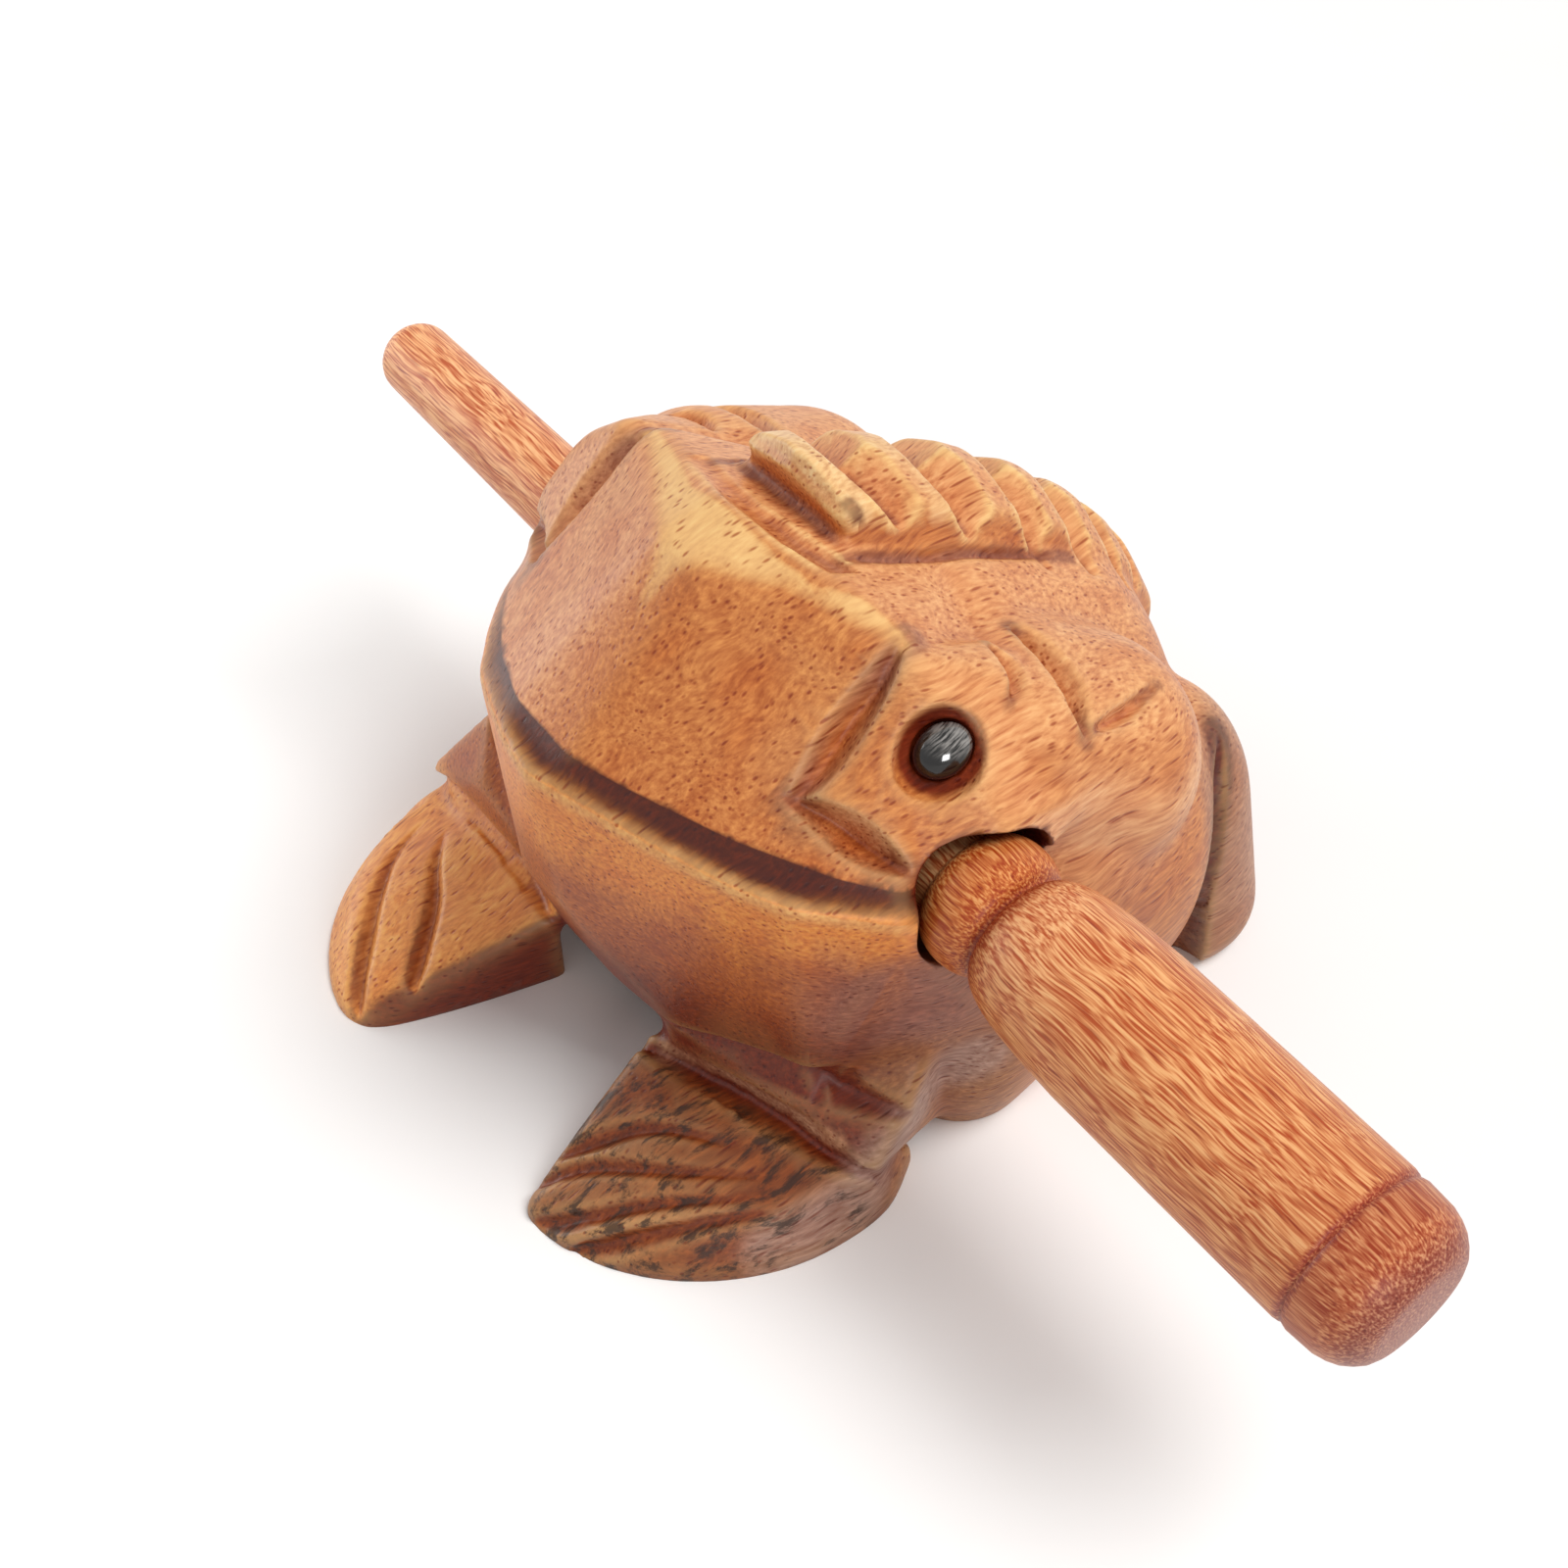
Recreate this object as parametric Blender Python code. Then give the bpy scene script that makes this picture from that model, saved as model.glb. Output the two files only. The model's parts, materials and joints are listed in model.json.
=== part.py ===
"""Frog guiro: a hollow wooden frog with a toothed spine, two bead eyes and a turned striker.

Metres, +Z up. +X is the frog's left, where the striker's handle points, and -Y is its front.
The origin lies on the table, in the middle of the flat under the rump that the frog rests on.
The carving below is measured from the point of the table under the bore, BORE_AHEAD in front of it.
"""
import math

import bmesh
import bpy
from mathutils import Matrix, Vector
from mathutils.bvhtree import BVHTree

MM = 0.001

# Driving dimensions, in millimetres

CLEARANCE = 0.3
STRIKER_HEIGHT = 36.9
STRIKER_DIP = 2.0
BORE_AHEAD = 24.0
MOUTH_HEIGHT = 36.0
MOUTH_GAP = 2.2
MOUTH_SLOPE = 0.295
CHAMBER_RADII = (22.5, 24.0, 16.0)
CHAMBER_CENTRE = (0.0, 8.0, 27.0)
EYE_RADII = (2.6, 2.15, 2.0)
EYE_SINK = 1.3
EYE_RECESS_RADII = (4.1, 3.6, 2.2)
RIDGE_HALF_WIDTH = 7.5
TOOTH_CUT_DEPTH = 3.4
TOE_GROOVE_DEPTH = 1.8
COARSE_VOXEL = 0.9
FINE_VOXEL = 0.6
BODY_TRIANGLES = 10600

HANDLE_LENGTH = 43.5
HANDLE_RADIUS = 7.6
END_CAP_LENGTH = 6.5
BEAD_LENGTH = 6.2
BEAD_RADIUS = 6.4
BEAD_SEAT = 28.2
BORE_PLAY = 0.8
FAR_WALL = 30.5
SHAFT_LENGTH = 90.5
SHAFT_RADIUS = 5.0
TIP_RADIUS = 3.95
STRIKER_SIDES = 36

# Crest line of the spine ridge on the mid-plane: distance y and height, from the first tooth to the rump
CREST = [(2.2, 62.6), (9.5, 60.0), (20.0, 54.6), (30.0, 47.4), (37.0, 41.2), (43.0, 34.4), (46.6, 28.0), (47.8, 22.0)]


def clear_scene():
    for thing in list(bpy.data.objects):
        bpy.data.objects.remove(thing, do_unlink=True)


def material(name, colour, roughness):
    made = bpy.data.materials.new(name)
    made.use_nodes = True
    shader = made.node_tree.nodes["Principled BSDF"]
    shader.inputs["Base Color"].default_value = (*colour, 1.0)
    shader.inputs["Roughness"].default_value = roughness
    shader.inputs["Metallic"].default_value = 0.0
    made.diffuse_color = (*colour, 1.0)
    return made


def point(x, y, z):
    return Vector((x, y, z)) * MM


def both_sides(points):
    return list(points) + [(-x, y, z) for x, y, z in points]


def new_object(name, bm):
    mesh = bpy.data.meshes.new(name)
    bm.to_mesh(mesh)
    bm.free()
    made = bpy.data.objects.new(name, mesh)
    bpy.context.scene.collection.objects.link(made)
    return made


def add_hull(bm, points):
    """Adds the convex solid round the points to the bmesh."""
    verts = [bm.verts.new(spot) for spot in points]
    result = bmesh.ops.convex_hull(bm, input=verts, use_existing_faces=False)
    spare = {item for key in ("geom_interior", "geom_unused") for item in result[key]}
    spare = [item for item in spare if isinstance(item, bmesh.types.BMVert)]
    bmesh.ops.delete(bm, geom=spare, context="VERTS")
    bmesh.ops.recalc_face_normals(bm, faces=bm.faces)


def add_block(bm, points):
    add_hull(bm, [point(*spot) for spot in points])


def add_rounded(bm, balls):
    """Adds the convex solid round a few ellipsoids, each given as its centre and radii."""
    spots = []
    for centre, radii in balls:
        ball = bmesh.new()
        bmesh.ops.create_icosphere(ball, subdivisions=3, radius=1.0)
        spots += [point(*(c + r * a for c, r, a in zip(centre, radii, vert.co))) for vert in ball.verts]
        ball.free()
    add_hull(bm, spots)


def add_loft(bm, rings):
    """Adds a closed solid through rings of points, with a flat cap at each end."""
    loops = []
    for ring in rings:
        verts = [bm.verts.new(spot) for spot in ring]
        loops.append([bm.edges.new(pair) for pair in zip(verts, verts[1:] + verts[:1])])
    faces = []
    for first, second in zip(loops, loops[1:]):
        faces += bmesh.ops.bridge_loops(bm, edges=first + second)["faces"]
    for loop in (loops[0], loops[-1]):
        faces += bmesh.ops.contextual_create(bm, geom=loop)["faces"]
    bmesh.ops.recalc_face_normals(bm, faces=faces)


def evaluated(thing):
    """Puts the object's modifiers into its mesh."""
    graph = bpy.context.evaluated_depsgraph_get()
    mesh = bpy.data.meshes.new_from_object(thing.evaluated_get(graph))
    thing.modifiers.clear()
    thing.data = mesh
    return mesh


def modifier(thing, kind, **settings):
    added = thing.modifiers.new(kind.title(), kind)
    for name, value in settings.items():
        setattr(added, name, value)
    return added


def mouth_level(y, lift=0.0):
    """Height of the mouth's lower face at the distance y, and of planes parallel to it."""
    return MOUTH_HEIGHT - MOUTH_SLOPE * y + lift


def masses():
    """The frog's bulk before the gouges: overlapping solids that the first remesh joins."""
    bm = bmesh.new()

    # Upper head: two snout facets from the lip up to a swept and bevelled brow edge
    upper = MOUTH_GAP
    lip = [(29.4, -7.9), (25.2, -12.0), (18.2, -16.4), (9.2, -20.4), (3.5, -22.6),
           (-5.1, -22.2), (-11.4, -19.9), (-15.5, -17.5), (-19.8, -14.1), (-23.3, -10.0), (-27.3, -5.3)]
    lip_points = [(x, y, mouth_level(y, upper)) for x, y in lip]
    brow = both_sides([(18.6, 0.0, 54.1), (9.2, -4.0, 56.4), (2.5, -8.6, 57.7),
                       (17.6, 1.6, 55.0), (8.6, -0.8, 57.9), (1.8, -3.2, 59.6)])
    back = both_sides([(19.0, 12.0, 46.0), (8.0, 14.0, 50.5), (24.0, 10.0, 36.0)])
    add_block(bm, lip_points + brow + back)

    # Eye blocks: their faces turn outwards from the snout and stand a little proud of it
    add_block(bm, [(19.1, 0.1, 55.0), (18.9, -10.5, 45.2), (27.6, -6.8, 40.8), (29.4, -5.0, 36.0),
                   (31.2, 1.5, 43.8), (32.0, 3.0, 36.0), (22.0, 7.0, 51.8), (24.0, 12.0, 48.0),
                   (30.0, 14.0, 41.0), (18.0, 10.0, 51.0), (16.0, 2.0, 45.0), (18.0, 8.0, 36.0)])
    add_block(bm, [(-20.0, 0.1, 55.0), (-19.6, -10.0, 45.0), (-25.0, -1.0, 50.9), (-25.2, -2.8, 49.7),
                   (-25.4, -6.1, 46.6), (-25.6, -7.8, 42.4), (-25.4, -8.7, 38.3), (-29.0, -5.0, 37.5),
                   (-30.2, 1.5, 43.0), (-30.8, 3.0, 36.0), (-24.4, 6.0, 50.2), (-24.5, 12.0, 46.5),
                   (-29.0, 14.0, 40.0), (-18.0, 10.0, 50.0), (-16.0, 2.0, 45.0), (-18.0, 8.0, 36.0)])

    # Lower jaw: a full bowl from the lower lip down to the throat and the wrists
    rim = [(30.6, -8.8), (25.0, -16.2), (21.0, -18.8), (16.0, -21.0), (11.0, -22.8), (6.0, -24.6), (1.5, -26.0),
           (-4.0, -24.8), (-8.0, -23.4), (-11.9, -22.0), (-17.3, -17.8), (-22.5, -12.8), (-27.0, -7.0)]
    rim_points = [(x, y, mouth_level(y)) for x, y in rim]
    throat = both_sides([(3.0, -24.6, 27.0), (4.0, -20.5, 15.0), (5.0, -14.5, 3.0), (24.0, -13.5, 14.0),
                         (12.0, -19.0, 14.0), (30.0, -4.0, 24.0), (31.0, 4.0, 14.0), (29.0, 4.0, 1.0),
                         (30.0, 2.0, 36.0)])
    add_block(bm, rim_points + throat)

    # Trunk, shoulders, thighs and rump
    add_rounded(bm, [((0.0, 8.0, 28.0), (29.0, 22.0, 25.0)), ((0.0, 24.0, 20.0), (25.0, 19.5, 24.0))])
    for side in (1, -1):
        add_rounded(bm, [((side * 17.0, 12.5, 35.5), (12.5, 11.0, 13.2)), ((side * 20.5, 20.0, 32.5), (11.5, 11.0, 11.8)),
                         ((side * 21.0, 8.5, 41.5), (8.8, 8.0, 8.3)), ((side * 19.0, 16.0, 28.0), (12.0, 14.0, 14.0))])
        add_rounded(bm, [((side * 19.5, 12.0, 22.0), (13.5, 18.0, 22.0)),
                         ((side * 19.0, 21.0, 17.0), (13.0, 17.0, 20.0)),
                         ((side * 23.0, 6.0, 10.0), (9.0, 9.0, 16.0))])
        add_rounded(bm, [((side * 18.0, 33.0, 14.0), (11.0, 11.0, 16.5)),
                         ((side * 22.0, 36.0, 3.0), (8.0, 9.0, 6.0))])

    # Front legs: a wrist band on a wedge-shaped foot that runs out to the toes
    near_sole = [(8.4, -16.0), (9.4, -28.0), (10.9, -35.0), (13.0, -37.6), (18.6, -36.6), (24.0, -33.2),
                 (28.2, -28.6), (30.8, -23.0), (31.6, -17.0), (31.0, -11.0), (28.0, -5.0)]
    near_top = [(7.0, -19.0, 8.6), (22.5, -14.5, 9.2), (29.4, -12.0, 6.8), (11.2, -31.5, 4.4), (12.6, -35.4, 3.2),
                (19.0, -34.0, 3.9), (25.0, -28.4, 4.7), (28.6, -21.5, 5.6), (17.0, -25.0, 7.0), (9.0, -8.0, 4.0)]
    far_sole = [(-9.5, -18.0), (-12.0, -28.0), (-14.6, -36.0), (-18.0, -38.6), (-23.2, -38.0), (-29.0, -35.0),
                (-33.6, -30.4), (-36.4, -24.6), (-36.8, -18.4), (-34.0, -10.0)]
    far_top = [(-8.5, -18.5, 10.6), (-22.5, -14.5, 11.5), (-33.6, -13.0, 9.0), (-13.0, -29.5, 5.6), (-16.2, -35.8, 3.4),
               (-19.0, -36.4, 3.2), (-25.0, -34.4, 4.0), (-30.4, -30.2, 4.8), (-34.2, -24.6, 5.6), (-35.4, -18.6, 6.6)]
    for sole, top in ((near_sole, near_top), (far_sole, far_top)):
        outline = catmull([(x, y, 1.2) for x, y in sole], 4)
        add_block(bm, top + [(x, y, z - drop) for x, y, z in outline for drop in (0.0, 3.2)])
    wrist = [(9.0, -18.6, 8.0), (9.6, -18.8, 13.2), (22.0, -13.6, 14.0), (31.0, -7.6, 11.6), (22.5, -15.2, 9.2),
             (31.2, -11.2, 6.0), (28.0, 0.0, 20.0), (28.0, 0.0, 2.0), (10.0, -5.0, 12.0), (10.0, -5.0, 2.0)]
    add_block(bm, wrist)
    far_wrist = [(-9.5, -18.5, 13.5), (-9.0, -18.0, 8.0), (-23.0, -18.0, 17.0), (-30.0, -16.0, 15.5),
                 (-34.0, -18.0, 10.0), (-34.5, -14.0, 7.0), (-27.0, -14.0, 21.0), (-28.0, 0.0, 20.0),
                 (-28.0, 0.0, 2.0), (-10.0, -5.0, 12.0), (-10.0, -5.0, 2.0), (-31.0, -6.0, 8.0)]
    add_block(bm, far_wrist)

    # Spine ridge: a low roof along the back, cut into teeth later
    flank = RIDGE_HALF_WIDTH
    rings = []
    for y, z in CREST:
        half = [(1.5, 0.0), (flank - 1.0, 2.4), (flank, 9.0)]
        outline = [(-x, down) for x, down in reversed(half)] + half
        rings.append([ridge_point(y, x, down) for x, down in outline])
    add_loft(bm, rings)
    return new_object("masses", bm)


def catmull(points, steps):
    """Points along a smooth curve through the given ones."""
    spots = [Vector(spot) for spot in points]
    ends = [2 * spots[0] - spots[1]] + spots + [2 * spots[-1] - spots[-2]]
    route = []
    for before, start, end, after in zip(ends, ends[1:], ends[2:], ends[3:]):
        for step in range(steps):
            t = step / steps
            route.append(0.5 * (2 * start + (end - before) * t + (2 * before - 5 * start + 4 * end - after) * t * t
                                + (3 * start - before - 3 * end + after) * t ** 3))
    return route + [spots[-1]]


def add_gouge(bm, surface, path, width, depth, open_end=False):
    """Adds the V-shaped chip that a gouge takes out along a path near the surface.

    The chip starts at nothing and dies out at its far end, or runs off the wood there if open_end is set.
    """
    route = catmull(path, 5)
    rise = 0.5
    rings = []
    for number, spot in enumerate(route):
        share = number / (len(route) - 1)
        bite = math.sin(math.pi * (share / 2 if open_end else share)) ** 0.7
        bite = max(bite, 0.12)
        place, normal = surface.find_nearest(spot * MM)[:2]
        ahead = route[min(number + 1, len(route) - 1)] - route[max(number - 1, 0)]
        if open_end and number == len(route) - 1:
            place = place + ahead.normalized() * 2.0 * MM
        across = ahead.cross(normal).normalized()
        half = 0.5 * width * bite * (1 + rise / (depth * bite))
        top = place + normal * rise * MM
        rings.append([top - across * half * MM, place - normal * depth * bite * MM, top + across * half * MM])
    add_loft(bm, rings)


def ridge_point(y, x, down):
    """Point of the spine ridge at the crest's distance y, x to the side and so far below the crest."""
    for (y0, z0), (y1, z1) in zip(CREST, CREST[1:]):
        if y <= y1 or (y1, z1) == CREST[-1]:
            z = z0 + (z1 - z0) * (y - y0) / (y1 - y0)
            break
    inward = Vector((0.0, 14.0 - y, 22.0 - z)).normalized()
    return point(x, y + inward.y * down, z + inward.z * down)


def spine_cuts(bm):
    """Cross cuts that leave the ridge's teeth, steep behind each tooth and easy before the next."""
    cuts = [(7.4, 2.4, 5.0), (16.4, 2.8, 5.0), (25.8, 2.6, 3.4), (32.6, 2.1, 2.8), (38.2, 1.8, 2.0),
            (42.2, 1.5, 1.8), (45.6, 1.3, 1.4)]
    reach = RIDGE_HALF_WIDTH + 2.0
    for y, behind, ahead in cuts:
        depth = TOOTH_CUT_DEPTH * min(1.0, (behind + ahead) / 6.5)
        rings = []
        for x in (-reach, 0.0, reach):
            drop = 3.0 if x else 0.0
            swept = y + (2.2 if x else 0.0)
            rings.append([ridge_point(swept - behind, x, drop - 1.2), ridge_point(swept, x, drop + depth),
                          ridge_point(swept + ahead, x, drop - 1.2)])
        add_loft(bm, rings)


def carving(surface, frames):
    """Everything that gouges take off the smoothed bulk, as one cutter."""
    bm = bmesh.new()
    spine_cuts(bm)
    add_rounded(bm, [((-5.0, -0.4, 60.2), (3.8, 3.0, 4.2)), ((7.5, 0.6, 58.8), (3.6, 3.0, 4.2))])
    for name, frame in frames:
        add_ball(bm, (0.0, 0.0, 0.1), EYE_RECESS_RADII, frame)
    for side in (1, -1):
        # Brow groove, the notch under the eye block, the cuts behind the eye and the ridge's base line
        face = [([(17.0, 2.4, 54.8), (18.4, -2.5, 52.6), (18.7, -5.9, 49.6), (19.0, -8.8, 47.0), (19.2, -12.0, 45.0)], 3.4, 2.4),
                ([(18.2, -11.6, 45.6), (21.6, -10.1, 44.8), (24.0, -9.0, 43.9), (26.3, -7.8, 42.7), (28.4, -6.2, 41.2)], 3.8, 3.2),
                ([(19.4, 9.0, 51.1), (21.6, 9.2, 50.5), (23.3, 8.6, 49.8), (24.3, 6.6, 49.4)], 1.6, 1.3),
                ([(17.0, 15.0, 48.5), (19.0, 14.5, 47.6), (22.0, 13.7, 46.2), (26.0, 12.2, 44.5)], 2.8, 2.3),
                ([(25.6, 12.8, 43.5), (24.5, 18.5, 40.8), (21.5, 26.5, 36.5)], 1.8, 1.2),
                ([(8.0, 1.0, 56.6), (8.1, 8.0, 53.4), (8.1, 16.3, 49.7), (8.1, 23.0, 46.4), (8.0, 30.0, 42.2)], 1.8, 1.3)]
        for path, width, depth in face:
            add_gouge(bm, surface, [(side * x, y, z) for x, y, z in path], width, depth)

        # Hollow between the thigh and the hind foot
        hollow = [(24.0, 36.5, 28.0), (27.5, 32.5, 22.0), (29.2, 30.7, 12.3), (28.7, 31.3, 1.0), (28.7, 31.3, -3.0)]
        add_gouge(bm, surface, [(side * x, y, z) for x, y, z in hollow], 5.0, 3.4, open_end=True)

    # Front feet: a step under each wrist, a soft crease above it and grooves between the toes
    wrists = [([(5.0, -21.0, 7.2), (9.7, -19.6, 8.5), (17.0, -17.4, 9.1), (23.4, -15.3, 8.9), (28.0, -13.4, 7.3), (33.0, -9.0, 3.6)], 3.6, 2.6),
              ([(9.0, -19.6, 13.2), (17.8, -16.2, 14.5), (23.4, -14.0, 14.5), (27.5, -10.5, 12.9), (32.0, -5.8, 10.4)], 5.4, 1.9),
              ([(-6.0, -19.6, 9.0), (-13.0, -18.6, 10.6), (-23.0, -17.0, 11.0), (-30.0, -18.0, 10.6), (-36.0, -16.0, 7.0)], 2.6, 1.4)]
    toes = [[(22.0, -19.6, 7.4), (15.0, -24.6, 6.5), (11.2, -30.6, 4.6)],
            [(26.4, -18.6, 6.7), (19.6, -25.6, 6.1), (14.0, -30.6, 4.9), (11.0, -34.2, 3.0)],
            [(27.4, -20.0, 6.0), (21.4, -27.9, 5.2), (18.2, -32.9, 4.1), (15.0, -37.4, 2.0)],
            [(29.0, -19.4, 5.2), (25.8, -25.0, 5.0), (22.4, -31.6, 3.7), (19.6, -36.4, 1.5)],
            [(-33.4, -19.0, 9.6), (-34.6, -23.0, 6.0), (-33.0, -27.5, 4.0)],
            [(-30.0, -20.5, 8.0), (-28.7, -25.4, 5.8), (-26.0, -29.2, 4.8), (-22.8, -32.4, 3.9), (-18.0, -37.0, 2.0)],
            [(-26.5, -20.4, 8.0), (-23.8, -23.6, 7.5), (-19.7, -26.6, 6.6), (-15.0, -32.0, 5.2)]]
    for path, width, depth in wrists:
        add_gouge(bm, surface, path, width, depth)
    for path in toes:
        add_gouge(bm, surface, path, 2.9, TOE_GROOVE_DEPTH, open_end=True)
    return new_object("carving", bm)


def mouth_slot():
    bm = bmesh.new()
    reach = 40.0
    add_block(bm, [(x, y, mouth_level(y, lift)) for x in (-reach, reach) for y in (-reach, -1.0)
                   for lift in (0.0, MOUTH_GAP)])
    return new_object("mouth_slot", bm)


def chamber():
    bm = bmesh.new()
    add_rounded(bm, [(CHAMBER_CENTRE, CHAMBER_RADII)])
    return new_object("chamber", bm)


def striker_frame():
    """Frame of the stick and its bore: X along the stick, its handle end dipping a little."""
    return Matrix.Translation(point(0.0, 0.0, STRIKER_HEIGHT)) @ Matrix.Rotation(math.radians(STRIKER_DIP), 4, "Y")


def shaft_radius(x):
    """The striker's shaft tapers evenly from the bead to the tip."""
    share = (BEAD_SEAT - x) / SHAFT_LENGTH
    return SHAFT_RADIUS + (TIP_RADIUS - SHAFT_RADIUS) * share


def bore():
    """Tapered bore: the bead has its play at the near mouth and the shaft rests at the far wall."""
    near_radius = BEAD_RADIUS + BORE_PLAY
    lift = BORE_PLAY - CLEARANCE
    far_radius = lift + shaft_radius(-FAR_WALL) + CLEARANCE
    slope = (near_radius - far_radius) / (BEAD_SEAT + FAR_WALL)
    reach = 45.0
    bm = bmesh.new()
    bmesh.ops.create_cone(bm, cap_ends=True, segments=48, depth=2 * reach * MM,
                          radius1=(far_radius - slope * (reach - FAR_WALL)) * MM,
                          radius2=(near_radius + slope * (reach - BEAD_SEAT)) * MM)
    turn = Matrix.Rotation(math.radians(90.0), 4, "Y")
    bmesh.ops.transform(bm, matrix=striker_frame() @ Matrix.Translation(point(0.0, 0.0, lift)) @ turn, verts=bm.verts)
    return new_object("bore", bm)


def eye_frames(surface):
    """Where the eyes sit: a frame on each eye block's face, its Z outwards and its X along the recess."""
    frames = []
    for name, spot in (("left_eye", (24.7, -0.4, 48.8)), ("right_eye", (-28.2, 0.4, 45.6))):
        place, normal = surface.find_nearest(point(*spot))[:2]
        along = Vector((0.0, 0.94, 0.34))
        across = normal.cross(along).normalized()
        along = across.cross(normal)
        turn = Matrix((along, across, normal)).transposed().to_4x4()
        frames.append((name, Matrix.Translation(place) @ turn))
    return frames


def add_ball(bm, centre, radii, frame, subdivisions=3):
    made = bmesh.ops.create_icosphere(bm, subdivisions=subdivisions, radius=1.0)["verts"]
    size = Matrix.Diagonal((*[radius * MM for radius in radii], 1.0))
    bmesh.ops.transform(bm, matrix=frame @ Matrix.Translation(point(*centre)) @ size, verts=made)


def eye_seats(frames):
    """Round seats that the eye beads are glued in."""
    bm = bmesh.new()
    for name, frame in frames:
        add_ball(bm, (0.0, 0.0, -EYE_SINK), [radius + CLEARANCE for radius in EYE_RADII], frame)
    return new_object("eye_seats", bm)


def table_top():
    """All the space above the table; it leaves the frog's soles and belly flat."""
    bm = bmesh.new()
    reach = 120.0
    add_block(bm, [(x, y, z) for x in (-reach, reach) for y in (-reach, reach) for z in (0.0, reach)])
    return new_object("table_top", bm)


def cut(body, cutter, operation="DIFFERENCE", use_self=False):
    modifier(body, "BOOLEAN", operation=operation, object=cutter, solver="EXACT", use_self=use_self)
    evaluated(body)
    bpy.data.objects.remove(cutter, do_unlink=True)


def frog_body():
    """The carved block: bulk, then gouge work, then the clean bore, seats and sole."""
    body = masses()
    modifier(body, "REMESH", mode="VOXEL", voxel_size=COARSE_VOXEL * MM)
    evaluated(body)
    cut(body, mouth_slot())
    cut(body, chamber())
    modifier(body, "REMESH", mode="VOXEL", voxel_size=COARSE_VOXEL * MM, use_smooth_shade=True)
    modifier(body, "SMOOTH", factor=0.5, iterations=7)
    evaluated(body)
    surface = BVHTree.FromObject(body, bpy.context.evaluated_depsgraph_get())
    frames = eye_frames(surface)
    cut(body, carving(surface, frames), use_self=True)
    modifier(body, "REMESH", mode="VOXEL", voxel_size=FINE_VOXEL * MM, use_smooth_shade=True)
    modifier(body, "SMOOTH", factor=0.5, iterations=3)
    mesh = evaluated(body)
    modifier(body, "DECIMATE", decimate_type="COLLAPSE", ratio=BODY_TRIANGLES / (2 * len(mesh.polygons)))
    evaluated(body)
    cut(body, bore())
    cut(body, eye_seats(frames))
    cut(body, table_top(), operation="INTERSECT")
    return body, frames


def striker():
    """The turned stick: rounded tip, tapering shaft, bead, neck and a round handle with a grooved end."""
    tip = BEAD_SEAT - SHAFT_LENGTH
    neck = BEAD_SEAT + BEAD_LENGTH
    end = neck + HANDLE_LENGTH
    groove = end - END_CAP_LENGTH
    profile = [(tip, 0.0)]
    for angle in (20, 42, 64, 90):
        turn = math.radians(angle)
        profile.append((tip + 0.8 * TIP_RADIUS * (1 - math.cos(turn)), TIP_RADIUS * math.sin(turn)))
    profile.append((-FAR_WALL, shaft_radius(-FAR_WALL)))
    profile.append((BEAD_SEAT - 0.1, SHAFT_RADIUS))
    for step in range(7):
        turn = math.pi * (0.08 + 0.84 * step / 6)
        profile.append((BEAD_SEAT + 0.5 * BEAD_LENGTH * (1 - math.cos(turn)),
                        SHAFT_RADIUS - 0.3 + (BEAD_RADIUS - SHAFT_RADIUS + 0.3) * math.sin(turn)))
    profile.append((neck + 0.3, SHAFT_RADIUS - 0.1))
    for length, inset in ((0.7, 1.3), (1.8, 0.55), (3.6, 0.15), (7.0, 0.0), (25.0, 0.0)):
        profile.append((neck + length, HANDLE_RADIUS - inset))
    profile += [(groove - 0.7, HANDLE_RADIUS - 0.1), (groove, HANDLE_RADIUS - 0.6), (groove + 0.7, HANDLE_RADIUS - 0.15)]
    profile += [(end - 2.6, HANDLE_RADIUS - 0.45), (end - 1.2, HANDLE_RADIUS - 0.85), (end - 0.4, HANDLE_RADIUS - 1.5),
                (end, HANDLE_RADIUS - 2.4), (end, 0.0)]
    bm = bmesh.new()
    verts = [bm.verts.new(point(x, radius, 0.0)) for x, radius in profile]
    edges = [bm.edges.new(pair) for pair in zip(verts, verts[1:])]
    bmesh.ops.spin(bm, geom=verts + edges, cent=(0, 0, 0), axis=(1, 0, 0), angle=math.tau,
                   steps=STRIKER_SIDES, use_merge=True)
    bmesh.ops.remove_doubles(bm, verts=bm.verts, dist=0.001 * MM)
    bmesh.ops.recalc_face_normals(bm, faces=bm.faces)
    stick = new_object("striker", bm)
    stick.matrix_world = striker_frame()
    return stick


def eye(name, frame):
    """An oval glass bead, glued in its seat with its crown just proud of the wood."""
    bm = bmesh.new()
    add_ball(bm, (0.0, 0.0, 0.0), EYE_RADII, Matrix.Identity(4))
    bead = new_object(name, bm)
    bead.matrix_world = frame @ Matrix.Translation(point(0.0, 0.0, -EYE_SINK))
    return bead


def main():
    clear_scene()
    body, frames = frog_body()
    body.name = "frog_body"
    pieces = [(body, material("carved_hardwood", (0.47, 0.21, 0.075), 0.5))]
    pieces.append((striker(), material("turned_hardwood", (0.62, 0.24, 0.075), 0.42)))
    bead_black = material("black_bead", (0.012, 0.01, 0.01), 0.12)
    pieces += [(eye(name, frame), bead_black) for name, frame in frames]
    for piece, finish in pieces:
        piece.data.materials.clear()
        piece.data.materials.append(finish)
        piece.data.shade_smooth()
        piece.data.set_sharp_from_angle(angle=math.radians(38.0))
        piece.location.y -= BORE_AHEAD * MM


main()
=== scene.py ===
"""Frog guiro: a carved wooden frog with a toothed spine, and the turned striker in its bore.

Metres, +Z up, +X to the frog's left and -Y to its front. Sizes are in millimetres times MM.
"""

import json
import math

import bmesh
import bpy
import numpy as np
from mathutils import Matrix, Vector
from mathutils.bvhtree import BVHTree
from mathutils.kdtree import KDTree

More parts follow.
